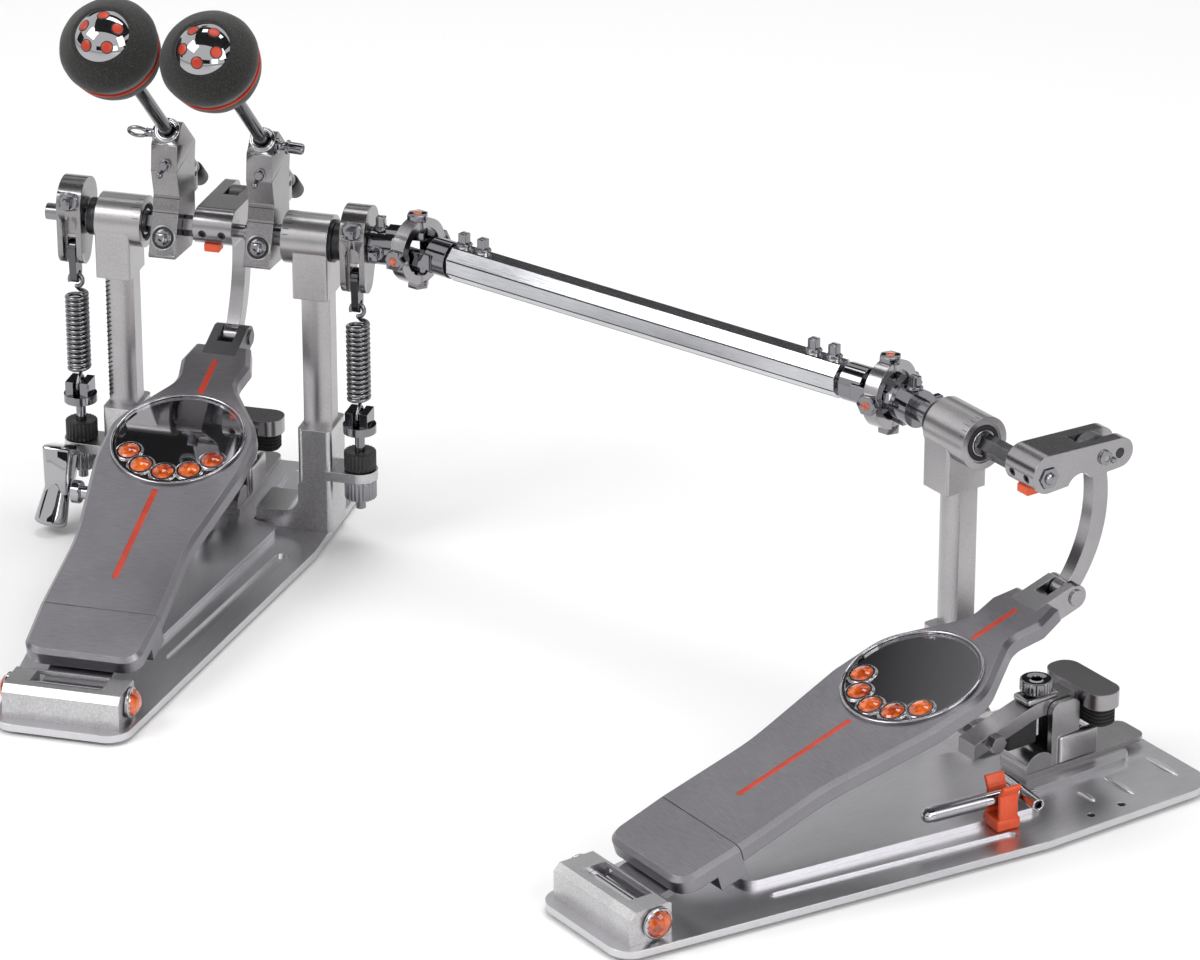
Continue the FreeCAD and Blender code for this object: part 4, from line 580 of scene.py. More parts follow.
# Beaters: two-part felt head on a disc, bright dome with five dots, black tail
beaterCfg = {
    # stations are (radius, along the shaft) in mm, from the head's middle or the piece's own foot
    "bowl": [(8.1, -33.8), (8.1, -26.2), (8.9, -25.3), (11.2, -24.4), (14.2, -23.1), (18.4, -20.6),
             (21.8, -17.6), (24.4, -14.4), (26.0, -10.4), (26.9, -6.4), (27.1, -2.6)],
    "crown": [(26.3, -1.3), (27.2, 1.6), (28.2, 4.5), (28.8, 7.0), (28.4, 10.0), (27.0, 13.3), (24.7, 16.3),
              (21.6, 19.4), (18.6, 21.8), (17.2, 22.5)],
    # the same with the number of sides
    "disc": ([(26.6, -2.9), (27.5, -2.6), (27.6, -2.0), (27.4, -1.4), (26.5, -1.2)], 112),
    "tail": ([(4.9, 0.0), (5.2, 0.5), (5.2, 13.9), (4.9, 14.5), (4.1, 14.7)], 40),
    "dot": ([(3.2, -0.8), (3.2, 0.0), (2.8, 0.24), (1.6, 0.42), (0.5, 0.46)], 32),
    "dotRim": ([(3.7, -0.8), (3.7, -0.1), (3.4, 0.06)], 32), "dotCircle": 10.6, "dotCount": 5,
    "domeWide": 16.7, "domeRadius": 20.7, "domeCentre": 9.3, "domeRings": 15, "domeSteps": 14.4,
    "domeRim": ((0.5, -0.9), (0.6, -0.5), (0.3, -0.1)), "headSides": 112, "domeSides": 96,
    # pitch and start of the felt's unevenness along x, y and z
    "waves": ((0.31, 1.7), (0.27, 0.4), (0.29, 2.1)), "waveHeight": 0.2,
    "headAlong": 165.0, "tailAlong": -32.6, "offset": 42.2,
    "left": {"x": -28.1, "slide": 0.0, "turn": 0}, "right": {"x": 30.5, "slide": -5.0, "turn": 180},
}
shaftLine = (0, -math.cos(beaterLean), math.sin(beaterLean))


def alongBeater(side, along, rise=0):
    # point in mm on the beater shaft's line, raised square to it
    off = beaterCfg["offset"] + rise
    y = off * math.sin(beaterLean) - along * math.cos(beaterLean)
    z = axleZ + off * math.cos(beaterLean) + along * math.sin(beaterLean)
    return Vector((beaterCfg[side]["x"], y, z))


def beaterPlace(side, along):
    # local +Z runs up the beater shaft from a point that far along it
    cfg = beaterCfg[side]
    lean = Matrix.Rotation(math.pi / 2 - beaterLean, 4, "X")
    spin = Matrix.Rotation(math.radians(cfg["turn"]), 4, "Z")
    return Matrix.Translation(alongBeater(side, along + cfg["slide"]) * mm) @ lean @ spin


def feltHead():
    cfg = beaterCfg
    head = joinAll([turned(eased(cfg[half]), cfg["headSides"]) for half in ("bowl", "crown")])
    # slow unevenness of pressed felt
    for vertex in head.data.vertices:
        p = vertex.co / mm
        wave = math.prod(math.sin(at * pitch + start) for at, (pitch, start) in zip(p, cfg["waves"]))
        vertex.co += Vector((p.x, p.y, 0)) / max(p.xy.length, 1) * (cfg["waveHeight"] * wave * mm)
    return head


def beaterDome():
    cfg = beaterCfg
    wide, radius, centre = cfg["domeWide"], cfg["domeRadius"], cfg["domeCentre"]
    foot = centre + math.sqrt(radius ** 2 - wide ** 2)
    line = [(wide + out, foot + rise) for out, rise in cfg["domeRim"]]
    for i in range(cfg["domeRings"]):
        lean = math.asin(wide / radius) * (1 - i / cfg["domeSteps"])
        line.append((radius * math.sin(lean), centre + radius * math.cos(lean)))
    return turned(line, cfg["domeSides"])


def domeDots(dot):
    # five enamelled buttons, or the dark rims they sit in
    cfg = beaterCfg
    lean = math.asin(cfg["dotCircle"] / cfg["domeRadius"])
    dots = []
    for i in range(cfg["dotCount"]):
        turn = 2 * math.pi * i / cfg["dotCount"] + math.pi / 2
        axis = Vector((math.sin(lean) * math.cos(turn), math.sin(lean) * math.sin(turn), math.cos(lean)))
        dots.append(lathed(*dot, axis, plusZ * cfg["domeCentre"] + axis * cfg["domeRadius"]))
    return joinAll(dots)


headAlong, tailAlong = beaterCfg["headAlong"], beaterCfg["tailAlong"]
beaterKit = [
    ("FeltHead", feltHead(), headAlong, "felt", blackFelt, 60),
    ("HeadDisc", turned(*beaterCfg["disc"]), headAlong, "orange", orangeEnamel, 50),
    ("BeaterDome", beaterDome(), headAlong, "chrome", mirrorChrome, 50),
    ("DotRims", domeDots(beaterCfg["dotRim"]), headAlong, "black_knob", blackPlasticAndHoleShade, 40),
    ("DomeDots", domeDots(beaterCfg["dot"]), headAlong, "orange", orangeEnamel, 40),
    ("BeaterTail", turned(*beaterCfg["tail"]), tailAlong, "black_knob", blackPlasticAndHoleShade, 40),
]
for side, sign, axle in beaterSides:
    for name, master, along, slot, material, angle in beaterKit:
        place = beaterPlace(side, along)
        piece = addPiece(copyOf(master), side + name, side + "_beater", material, place, angle)
        if name == "FeltHead":
            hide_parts(side + "_beater_head")
discard([row[1] for row in beaterKit])
print("beaters done")

# Springs: close coil with a hook at each end, stretched by the strap
springCfg = {
    "y": -6.0, "radius": 6.05, "wire": 1.32, "turns": 16, "bottom": 92.5, "top": 141.5, "stepsPerTurn": 20,
    # hooks: height and radius, then where each starts and how far it sweeps, in degrees
    "lowLoop": (83.1, 4.9), "highLoop": (150.2, 4.1), "lowTurn": 200, "highTurn": -90, "sweep": 290,
    "loopSteps": 22, "stillBelow": 90, "pulledAbove": 144,
}


def springPath(cfg):
    # points in mm round the spring's own axis, from the lower hook's tip to the upper one's
    lowZ, lowR = cfg["lowLoop"]
    highZ, highR = cfg["highLoop"]
    shares = [i / cfg["loopSteps"] for i in range(cfg["loopSteps"] + 1)]
    steps = cfg["turns"] * cfg["stepsPerTurn"]
    points = []
    for share in reversed(shares):
        turn = math.radians(cfg["lowTurn"] - cfg["sweep"] * share)
        points.append((0, lowR * math.cos(turn), lowZ - lowR * math.sin(turn)))
    for i in range(steps + 1):
        turn = 2 * math.pi * i / cfg["stepsPerTurn"] + math.pi / 2
        height = cfg["bottom"] + (cfg["top"] - cfg["bottom"]) * i / steps
        points.append((cfg["radius"] * math.cos(turn), cfg["radius"] * math.sin(turn), height))
    for share in shares:
        turn = math.radians(cfg["highTurn"] + cfg["sweep"] * share)
        points.append((highR * math.cos(turn), 0, highZ + highR * math.sin(turn)))
    return points


for side, sign, axle in beaterSides:
    x, y = sign * springX, springCfg["y"]
    path = [(x + px, y + py, pz) for px, py, pz in springPath(springCfg)]
    coil = settle(bentWire("coil", path, springCfg["wire"]), side + "CoilSpring", mainPlace, 60)
    dress(coil, nickelWire)
    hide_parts(side + "_spring")
    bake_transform(coil)
print("springs done")

# Tension adjusters: black locking knob over a dark nut, both fluted
knobCfg = {"radius": 9.8, "flutes": 24, "fluteDepth": 0.9, "bore": 3.1, "lock": (48.4, 59.6),
           "nut": (29.6, 41.6)}
fluteCfg = {"profile": (0.0, 0.45, 1.0, 0.45), "rim": 1.5, "boreSlack": 0.3, "skin": 0.2,
            # width, steps and least angle of the eased edges
            "ease": (0.5, 2, 60)}


def flutedKnob(z0, z1, cfg):
    profile, rim = fluteCfg["profile"], fluteCfg["rim"]
    corners = cfg["flutes"] * len(profile)
    knob = cylinder(cfg["radius"], z0, z1, corners)
    editWhere(knob, "faces", lambda normal: abs(normal.z) > flatFace)
    bpy.ops.mesh.inset(thickness=rim * mm)
    bpy.ops.mesh.inset(thickness=(cfg["radius"] - rim - cfg["bore"]) * mm)
    bpy.ops.mesh.delete(type="FACE")
    leaveEdit()
    # bridge the bore, then pull the corners in to the profile of the flutes
    inner = (cfg["bore"] + fluteCfg["boreSlack"]) * mm
    editWhere(knob, "edges", lambda a, b: max(a.xy.length, b.xy.length) < inner)
    bpy.ops.mesh.bridge_edge_loops()
    leaveEdit()
    step = 2 * math.pi / corners
    for vertex in knob.data.vertices:
        reach = vertex.co.xy.length
        if reach > (cfg["radius"] - fluteCfg["skin"]) * mm:
            index = round(math.atan2(vertex.co.y, vertex.co.x) / step) % len(profile)
            scale = 1 - profile[index] * cfg["fluteDepth"] * mm / reach
            vertex.co.x *= scale
            vertex.co.y *= scale
    easeEdges(knob, *fluteCfg["ease"])
    return knob


for side, sign, axle in beaterSides:
    place = Matrix.Translation(Vector((sign * springX, springCfg["y"], 0)) * mm)
    body = side + "_tension_knobs"
    lock = flutedKnob(*knobCfg["lock"], knobCfg)
    addPiece(lock, side + "LockKnob", body, blackPlasticAndHoleShade, place)
    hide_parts(side + "_tension_knobs")
    addPiece(flutedKnob(*knobCfg["nut"], knobCfg), side + "TensionNut", body, turnedSteel, place)
print("adjusters done")

# Footboards: inlaid stripes and five cut jewels in each medallion
stripeCfg = {"half": 1.84, "low": 11.56, "high": 12.24, "corner": (1.79, 8), "inset": 0.25, "rise": 0.06,
             "toe": (249.8, 281.9), "heel": (85.4, 163.9)}
jewelCfg = {"gem": ([(6.4, 0.0), (6.4, 0.8), (5.12, 1.9), (2.816, 2.65), (0.704, 2.85)], 14),
            "bezel": ((7.2, 0.7), (8.3, 0.5, 0.6)), "count": 5, "circle": 29.5, "pitch": 30.0,
            "centreU": 207.4, "faceW": 12.74, "rim": (39.3, 0.85, 0.8), "rimW": 13.7}


def inlaidStripe(u0, u1):
    cfg = stripeCfg
    bar = block((-cfg["half"], u0, cfg["low"]), (cfg["half"], u1, cfg["high"]), *cfg["corner"], upright)
    return raiseTop(bar, cfg["inset"], cfg["rise"])


def jewelRow(master):
    cfg = jewelCfg
    row = []
    for i in range(cfg["count"]):
        turn = math.radians(-90 + cfg["pitch"] * (i - (cfg["count"] - 1) / 2))
        u = cfg["centreU"] + cfg["circle"] * math.sin(turn)
        spot = Vector((cfg["circle"] * math.cos(turn), u, cfg["faceW"]))
        row.append(copyOf(master, Matrix.Translation(spot * mm) @ Matrix.Rotation(turn, 4, "Z")))
    discard([master])
    return joinAll(row)


for pedal, place in pedals.items():
    onBoard, body = place @ boardPlace, pedal + "_footboard"
    for name in ("toe", "heel"):
        stripe = inlaidStripe(*stripeCfg[name])
        addPiece(stripe, pedal + name.capitalize() + "Stripe", body, orangeEnamel, onBoard, 35)
    gems = jewelRow(turned(*jewelCfg["gem"]))
    addPiece(gems, pedal + "Jewels", body, amberGlass, onBoard, 12)
    bezels = jewelRow(joinAll([beadRing(*ring) for ring in jewelCfg["bezel"]]))
    addPiece(bezels, pedal + "JewelBezels", body, chromePlate, onBoard)
    rim = beadRing(*jewelCfg["rim"])
    rim.data.transform(Matrix.Translation(Vector((0, jewelCfg["centreU"], jewelCfg["rimW"])) * mm))
    addPiece(rim, pedal + "MedallionRim", body, chromePlate, onBoard, 60)
print("boards done")

# Key bolts: flange, round collar and rounded square end, over the plain ones
boltCfg = {
    "half": 2.65, "length": 5.8, "corner": (0.55, 3), "tipInset": 0.5, "tipRise": 0.35,
    "flange": 0.9, "flangeThick": 0.9, "sink": 0.6, "neckInset": 0.63, "neckRise": 0.7,
    "ease": (0.3, 3, 40), "sides": 40,
    # radius of the neck and height of the collar, by kind
    "rocker": (5.2, 2.4), "holder": (4.2, 2.2), "sleeve": (3.8, 2.6), "tube": (4.0, 3.0),
    # where they stand, in mm from the axle, the holder's face, the joint or the tube
    "rockerAt": (-12.4324, 203), "holderOut": -1.4, "sleeveBack": 22.3, "sleeveOut": 9.8,
    "tubeNear": 35.0, "tubeFar": 38.0, "tubePitch": 14, "tubeUp": 10.25,
}
jointCentre = {"main": Vector((123.3, 0, axleZ)), "slave": Vector((434.98, -130.04, axleZ))}
tubeRun = jointCentre["slave"] - jointCentre["main"]
tubeAxis, tubeLength = tubeRun.normalized(), tubeRun.length
slaveInward = (slavePlace.to_3x3() @ -plusX).normalized()
holderFace, holderUp = Vector((0, -0.926, 0.377)), (0, 0.377, 0.926)
holderBolt = Vector((0, -17.16, 187.88))


def keyBolt(radius, collar):
    cfg = boltCfg
    half, top = cfg["half"], collar - cfg["sink"]
    head = cylinder(radius + cfg["flange"], top - cfg["flangeThick"], top, cfg["sides"])
    editWhere(head, "faces", lambda normal: normal.z > flatFace)
    bpy.ops.mesh.inset(thickness=cfg["neckInset"] * mm)
    bpy.ops.mesh.extrude_region_move(TRANSFORM_OT_translate={"value": (0, 0, cfg["neckRise"] * mm)})
    leaveEdit()
    easeEdges(head, *cfg["ease"])
    shank = block((-half, -half, collar), (half, half, collar + cfg["length"]), *cfg["corner"], upright)
    return joinAll([head, raiseTop(shank, cfg["tipInset"], cfg["tipRise"])])


def boltRows():
    # name, body, kind, axis, hint, start of the head in mm
    cfg, rows = boltCfg, []
    for side, sign, body in beaterSides:
        spot = (sign * springX, *cfg["rockerAt"])
        rows.append((side + "RockerBolt", body, "rocker", (0, -1, 0), plusZ, spot))
    for side, sign, body in beaterSides:
        spot = holderBolt + plusX * beaterCfg[side]["x"] + holderFace * cfg["holderOut"]
        rows.append((side + "HolderBolt", body, "holder", holderFace, holderUp, spot))
    for name, centre, axis in (("second", "main", plusX), ("slave", "slave", slaveInward)):
        spot = jointCentre[centre] - axis * cfg["sleeveBack"]
        for tag, out in (("Top", plusZ), ("Side", -plusZ.cross(axis))):
            start = spot + out * cfg["sleeveOut"]
            rows.append((f"{name}SleeveBolt{tag}", name + "_axle", "sleeve", out, axis, start))
    for i in range(2):
        inset = cfg["tubePitch"] * i
        for end, along in (("Near", cfg["tubeNear"] + inset), ("Far", tubeLength - cfg["tubeFar"] - inset)):
            spot = jointCentre["main"] + tubeAxis * along + plusZ * cfg["tubeUp"]
            rows.append((f"tubeBolt{end}{i}", "drive_tube", "tube", plusZ, tubeAxis, spot))
    return rows


boltMasters = {}
for name, body, kind, axis, hint, spot in boltRows():
    if kind not in boltMasters:
        boltMasters[kind] = keyBolt(*boltCfg[kind])
    addPiece(copyOf(boltMasters[kind]), name, body, darkReflectionChrome, framed(axis, hint, spot))
discard(boltMasters.values())
print("bolts done")

# Ring joints: six-sided bosses with enamelled centres
bossCfg = {"flats": 11.4, "inner": 18.6, "outer": 22.9, "inset": 0.9, "rise": 0.3, "ease": (0.35, 2, 25),
           "sides": 6, "capSides": 32, "capRadius": 2.6, "capZ": (22.75, 23.55),
           "capInset": 0.6, "capProud": 0.3}
bossRadius = bossCfg["flats"] / 2 / math.cos(math.pi / bossCfg["sides"])
bossMaster = cylinder(bossRadius, bossCfg["inner"], bossCfg["outer"], bossCfg["sides"])
raiseTop(bossMaster, bossCfg["inset"], bossCfg["rise"])
easeEdges(bossMaster, *bossCfg["ease"])
capMaster = cylinder(bossCfg["capRadius"], *bossCfg["capZ"], bossCfg["capSides"])
raiseTop(capMaster, bossCfg["capInset"], bossCfg["capProud"])
tubeAcross = plusZ.cross(tubeAxis)
for pedal, centre in jointCentre.items():
    body = pedal + "_joint_ring"
    for tag, axis in (("Top", plusZ), ("Low", -plusZ), ("Back", tubeAcross), ("Front", -tubeAcross)):
        place = framed(axis, tubeAxis, centre)
        addPiece(copyOf(bossMaster), f"{pedal}RingBoss{tag}", body, darkReflectionChrome, place, 30)
        addPiece(copyOf(capMaster), f"{pedal}RingCap{tag}", body, amberGlass, place, 30)
discard([bossMaster, capMaster])
print("ring joints done")

# Hinge ends: cut amber domes in bright bezels
hingeCfg = {"face": 36.4, "bezel": ([(8.7, -1.3), (9.0, -0.9), (9.0, 0.4), (8.6, 0.8), (7.9, 0.9)], 48),
            "gem": ([(8.0, 0.2), (8.0, 0.7), (6.9, 2.6), (4.9, 4.2), (2.4, 5.2), (0.8, 5.3)], 16)}
bezelMaster, gemMaster = turned(*hingeCfg["bezel"]), turned(*hingeCfg["gem"])
for pedal, place in pedals.items():
    body = pedal + "_base"
    for tag, sign in (("Left", -1), ("Right", 1)):
        spot = place @ pointing((sign, 0, 0), hinge + plusX * (sign * hingeCfg["face"]))
        addPiece(copyOf(bezelMaster), f"{pedal}HingeBezel{tag}", body, chromePlate, spot)
        addPiece(copyOf(gemMaster), f"{pedal}HingeGem{tag}", body, amberGlass, spot, 14)
discard([bezelMaster, gemMaster])
print("hinge ends done")

# Cams: black socket screws, orange bumper, pin heads and dark discs of painted shade for spare holes at the
# sides, roller in the fork
camCfg = {
    "screw": ([(2.3, 0.0), (2.3, 2.0), (1.9, 2.3), (1.3, 2.35), (1.2, 1.0)], 24), "screwAt": (6.0, -8.3),
    "bumper": ((-6.5, -7, 177.4), (3.0, 1.5, 182.6), 0.8),
    # pairs: stations, sides, then how far out, along and up
    "spare": ([(2.9, 0.0), (2.9, 0.9), (2.5, 1.0)], 32, 10.9, 49.5, 192.0),
    "head": ([(4.4, 0.0), (4.4, 1.4), (3.9, 1.9), (2.2, 2.1), (2.0, 1.5)], 6, 12.0, 39.0, 192.0),
    "tip": ([(1.8, 0.0), (1.8, 2.4), (1.3, 3.1), (0.5, 3.4)], 24, 12.0, 43.6, 189.8),
    "socket": ([(6.0, 0.0), (6.0, 0.35), (5.6, 0.5)], 6, 12.0, 0, axleZ),
    # single pieces: stations, sides, axis, spot
    "roller": ([(3.0, -4.3), (9.3, -4.3), (10.0, -3.6), (10.0, 3.6), (9.3, 4.3), (3.0, 4.3)], 48,
               plusX, (0, 39.0, 192.0)),
    "stub": ([(3.4, 0.0), (3.4, 1.6), (2.6, 2.4), (0.6, 2.8)], 32, plusX, (12.2, 0, axleZ)),
}
for pedal, place in pedals.items():
    cfg, body = camCfg, pedal + "_axle"
    x, y = cfg["screwAt"]
    screws = [lathed(*cfg["screw"], (0, -1, 0), (sign * x, y, axleZ)) for sign in bothSigns]
    addPiece(joinAll(screws), pedal + "CamScrews", body, blackPlasticAndHoleShade, place)
    addPiece(block(*cfg["bumper"]), pedal + "CamBumper", body, orangeNylon, place)
    # dark discs: painted shade of the spare holes
    spareHoleShades = turnedPair(*cfg["spare"])
    addPiece(joinAll(spareHoleShades), pedal + "CamSpareHoleShade", body, blackPlasticAndHoleShade, place)
    heads = turnedPair(*cfg["head"]) + turnedPair(*cfg["tip"])
    addPiece(joinAll(heads), pedal + "CamPinHeads", body, turnedSteel, place, 30)
    addPiece(lathed(*cfg["roller"]), pedal + "LinkRoller", pedal + "_link", shadedCast, place)
# the slave cam's open hub: dark hexagon discs as painted shade of its sockets, with a bright stub in the
# outer one
socketShades = joinAll(turnedPair(*camCfg["socket"]))
addPiece(socketShades, "slaveHubSocketShade", "slave_axle", darkSteelAndShade, slavePlace, 30)
addPiece(lathed(*camCfg["stub"]), "slaveHubStub", "slave_axle", turnedSteel, slavePlace)
print("cams done")

# Bearing housings: graduation lines at the inner ends, dark seal and bright race round each axle, dark nose
housingCfg = {
    "lines": 5, "first": 12, "pitch": 13, "radius": 15.5, "short": 3.6, "long": 5.4, "lineX": 44.3,
    "tick": ((-0.18, -0.3), (0.18, 0.05)), "ease": (0.05, 1),
    "seal": (9.0, 1.5, 0.3), "sealX": 44.25, "race": (7.2, 0.55, 0.8), "raceX": 44.2,
    "nose": ([(10.5, 0.0), (12.7, 0.05), (12.7, 1.6), (11.2, 1.8), (11.2, 6.25), (10.8, 6.65)], 48),
}
# name, place, side, body, start of the nose
housings = [("left", mainPlace, -1, "main_base", 71.75), ("right", mainPlace, 1, "main_base", 71.75),
            ("slave", slavePlace, -1, "slave_base", 77.75)]
for name, place, sign, body, noseX in housings:
    cfg = housingCfg
    (x0, y0), (x1, y1) = cfg["tick"]
    ticks = []
    for i in range(cfg["lines"]):
        turn = math.radians(cfg["first"] + cfg["pitch"] * i)
        length = cfg["long"] if i == cfg["lines"] // 2 else cfg["short"]
        radial = Vector((0, -math.sin(turn), math.cos(turn)))
        spot = Vector((sign * cfg["lineX"], 0, axleZ)) + radial * cfg["radius"]
        tick = block((x0, y0, 0), (x1, y1, length), *cfg["ease"])
        tick.data.transform(framed((sign, 0, 0), radial, spot))
        ticks.append(tick)
    addPiece(joinAll(ticks), name + "HousingLines", body, darkSteelAndShade, place)
    for part, slot, material in (("seal", "rubber", moulded), ("race", "chrome", chromePlate)):
        ring = stand(beadRing(*cfg[part]), (-sign, 0, 0), (sign * cfg[part + "X"], 0, axleZ))
        addPiece(ring, name + "Housing" + part.capitalize(), body, material, place)
for name, place, sign, body, noseX in housings:
    sleeve = lathed(*housingCfg["nose"], (sign, 0, 0), (sign * noseX, 0, axleZ))
    addPiece(sleeve, name + "NoseSleeve", body, darkSteelAndShade, place)
# scale along the left post's outer edge
scaleCfg = {"count": 26, "start": 78.0, "pitch": 2.9, "low": (-69.3, -6.4), "high": (-67.7, -5.0),
            "thick": 0.45, "ease": (0.1, 1)}
marks = []
for i in range(scaleCfg["count"]):
    z = scaleCfg["start"] + scaleCfg["pitch"] * i
    low, high = (*scaleCfg["low"], z), (*scaleCfg["high"], z + scaleCfg["thick"])
    marks.append(block(low, high, *scaleCfg["ease"]))
addPiece(joinAll(marks), "leftPostScale", "main_base", darkSteelAndShade)
print("housings done")

# Drive shaft: dark strips along the tube's corners, painted shade where the facets meet
tubeCfg = {"flats": 20.5, "corners": 8, "start": 29.8, "end": 31.3, "half": 0.42, "deep": 0.5,
           "proud": 0.12, "ease": (0.08, 1)}
cornerReach = tubeCfg["flats"] / 2 / math.cos(math.pi / tubeCfg["corners"]) - tubeCfg["proud"]
tubeFrame = framed(tubeAxis, plusZ, jointCentre["main"])
cornerShadeLow = (-tubeCfg["half"], -tubeCfg["deep"], tubeCfg["start"])
cornerShadeHigh = (tubeCfg["half"], tubeCfg["proud"], tubeLength - tubeCfg["end"])
cornerShades = []
for i in range(tubeCfg["corners"]):
    turn = Matrix.Rotation(2 * math.pi * (i + 0.5) / tubeCfg["corners"] - math.pi / 2, 4, "Z")
    cornerShade = block(cornerShadeLow, cornerShadeHigh, *tubeCfg["ease"])
    cornerShade.data.transform(tubeFrame @ turn @ Matrix.Translation((0, cornerReach * mm, 0)))
    cornerShades.append(cornerShade)
addPiece(joinAll(cornerShades), "tubeCornerShade", "drive_tube", darkSteelAndShade)
print("drive shaft done")

# Beater holders: the casting without its plain bolts, then collar, a dark disc of painted shade for the bolt
# recess, screws, cover and grip bolt
holderCfg = {
    "tall": 40, "collar": ((5.6, 1.3), (6.6, 1.2, 0.7)), "collarAlong": 43.9,
    "recess": ([(7.0, 0.0), (7.0, 0.12), (6.7, 0.16)], 48), "recessOut": -0.02, "recessRim": (7.0, 0.5, 0.7),
    # dark strips where the cap meets the arm, painted shade along the creases there
    "creaseShades": (((-8.06, -11.68, 201.28), (8.06, -10.1, 201.72), 0.06, 1),
             ((-8.06, -9.18, 209.68), (8.06, -7.6, 210.12), 0.06, 1)),
    # height screw on the chest: flange, square and a ball that stands off to one side
    "screw": ([(3.6, 0.0), (3.6, 0.7), (2.7, 1.0), (2.7, 4.0), (2.3, 4.5)], 20,
              (0, -0.99, 0.12), (0.8, -11.5, 232.0)),
    "ball": (eased([(1.0, 0.0), (1.5, 0.6), (1.6, 2.4), (2.0, 3.4), (1.7, 4.8), (0.5, 5.6)], 3), 24,
             (0, -0.9, -0.2), (-1.6, -11.8, 227.4)),
    # bright cover plate behind the clamp, with its pierced ear; the hole is a dark disc of painted shade
    "cover": ((-7.4, 19.1, 172.6), (7.4, 20.9, 203.0), 0.7, 2),
    "ear": ((6.1, 18.6, 203.4), (7.9, 25.6, 219.0), 0.6, 2),
    "hole": ([(1.7, -0.2), (1.7, 2.7), (1.5, 2.8)], 24, plusX, (5.4, 22.2, 214.2)),
    # grip bolt: a looped wing on the left, a barrel with a nut on the right
    "stem": ([(4.6, 0.0), (4.6, 1.2), (3.2, 1.6), (2.6, 2.4), (2.6, 5.4), (3.0, 5.9), (2.2, 6.6)], 24),
    "barrel": ([(2.8, 5.6), (4.3, 6.0), (4.3, 7.4), (3.4, 7.9), (3.4, 15.0), (2.9, 16.0), (2.2, 16.2),
                (1.9, 15.0)], 28),
    "barrelDip": -0.06, "gripAlong": 39.0, "gripRise": -0.8, "gripOut": 7.9,
    "loopWide": 5.6, "loopTall": 3.3, "loopOut": 11.4, "loopLean": 0.55, "loopSteps": 32, "loopWire": 1.15,
}


def castCopy(node, tall):
    # own copy of a casting, welded, without its loose parts up to this height in mm
    twin = copyOf(nodes[node])
    pick(twin)
    editAll()
    bpy.ops.mesh.remove_doubles(threshold=weldGap)
    bpy.ops.mesh.separate(type="LOOSE")
    leaveEdit()
    kept = []
    for part in list(bpy.context.selected_objects):
        heights = [vertex.co.z for vertex in part.data.vertices]
        if max(heights) - min(heights) > tall * mm:
            kept.append(part)
        else:
            bpy.data.objects.remove(part)
    return joinAll(kept)


def gripLoop(spot):
    cfg = holderCfg
    loop = []
    for i in range(cfg["loopSteps"] + 1):
        turn = 2 * math.pi * i / cfg["loopSteps"]
        wide, tall = cfg["loopWide"] * math.cos(turn), cfg["loopTall"] * math.sin(turn)
        loop.append(spot + Vector((wide - cfg["loopOut"], -tall * cfg["loopLean"], tall)))
    return bentWire("loop", loop, cfg["loopWire"])


for side, sign, body in beaterSides:
    cfg = holderCfg
    atHolder = Matrix.Translation((beaterCfg[side]["x"] * mm, 0, 0))
    cast = castCopy(side + "_beater_holder", cfg["tall"])
    addPiece(cast, side + "HolderCasting", body, shadedHolderCast, angle=30)
    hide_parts(side + "_beater_holder")
    collar = joinAll([beadRing(*ring) for ring in cfg["collar"]])
    stand(collar, shaftLine, alongBeater(side, cfg["collarAlong"]))
    addPiece(collar, side + "ShaftCollar", body, chromePlate)
    # flat dark disc on the bolt's face: painted shade of the recess
    recess = lathed(*cfg["recess"], holderFace, holderBolt + holderFace * cfg["recessOut"])
    addPiece(recess, side + "BoltRecessShade", body, darkSteelAndShade, atHolder)
    rim = stand(beadRing(*cfg["recessRim"]), holderFace, holderBolt)
    addPiece(rim, side + "RecessRim", body, castAluminium, atHolder)
    creaseShades = [block(*creaseShade) for creaseShade in cfg["creaseShades"]]
    addPiece(joinAll(creaseShades), side + "HolderCreaseShade", body, darkSteelAndShade, atHolder)
    screw = joinAll([lathed(*cfg["screw"]), lathed(*cfg["ball"])])
    addPiece(screw, side + "HeightScrew", body, darkReflectionChrome, atHolder)
    addPiece(block(*cfg["cover"]), side + "RearCover", body, chromePlate, atHolder)
    addPiece(block(*cfg["ear"]), side + "RearEar", body, castAluminium, atHolder)
    # dark disc on the ear: painted shade of its hole
    addPiece(lathed(*cfg["hole"]), side + "EarHoleShade", body, blackPlasticAndHoleShade, atHolder)
    spot = alongBeater(side, cfg["gripAlong"], cfg["gripRise"]) + plusX * (sign * cfg["gripOut"])
    stem = lathed(*cfg["stem"], (sign, 0, 0), spot)
    if side == "left":
        grip = gripLoop(spot)
    else:
        grip = lathed(*cfg["barrel"], (sign, 0, cfg["barrelDip"]), spot)
    addPiece(joinAll([stem, grip]), side + "GripBolt", body, darkReflectionChrome)
print("holders done")

# Rockers: the casting without its plain bolt, with an arched recess cut down the front
rockerCfg = {"tall": 40, "recess": ((-4.2, -22.0, 150.0), (4.2, -9.5, 192.5)), "arch": (4.1, 6),
             "archFrom": 180}


def archTop(a, b):
    return abs(a.y - b.y) > edgeRun and min(a.z, b.z) > rockerCfg["archFrom"] * mm


for side, sign, body in beaterSides:
    lever = castCopy(side + "_rocker", rockerCfg["tall"])
    low, high = (Vector(corner) + plusX * (sign * springX) for corner in rockerCfg["recess"])
    cutter = block(low, high, *rockerCfg["arch"], archTop)
    useModifier(lever, "BOOLEAN", operation="DIFFERENCE", object=cutter, solver="EXACT")
    discard([cutter])
    addPiece(lever, side + "RockerLever", body, shadedHolderCast, angle=30)
    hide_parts(side + "_rocker")
print("rockers done")

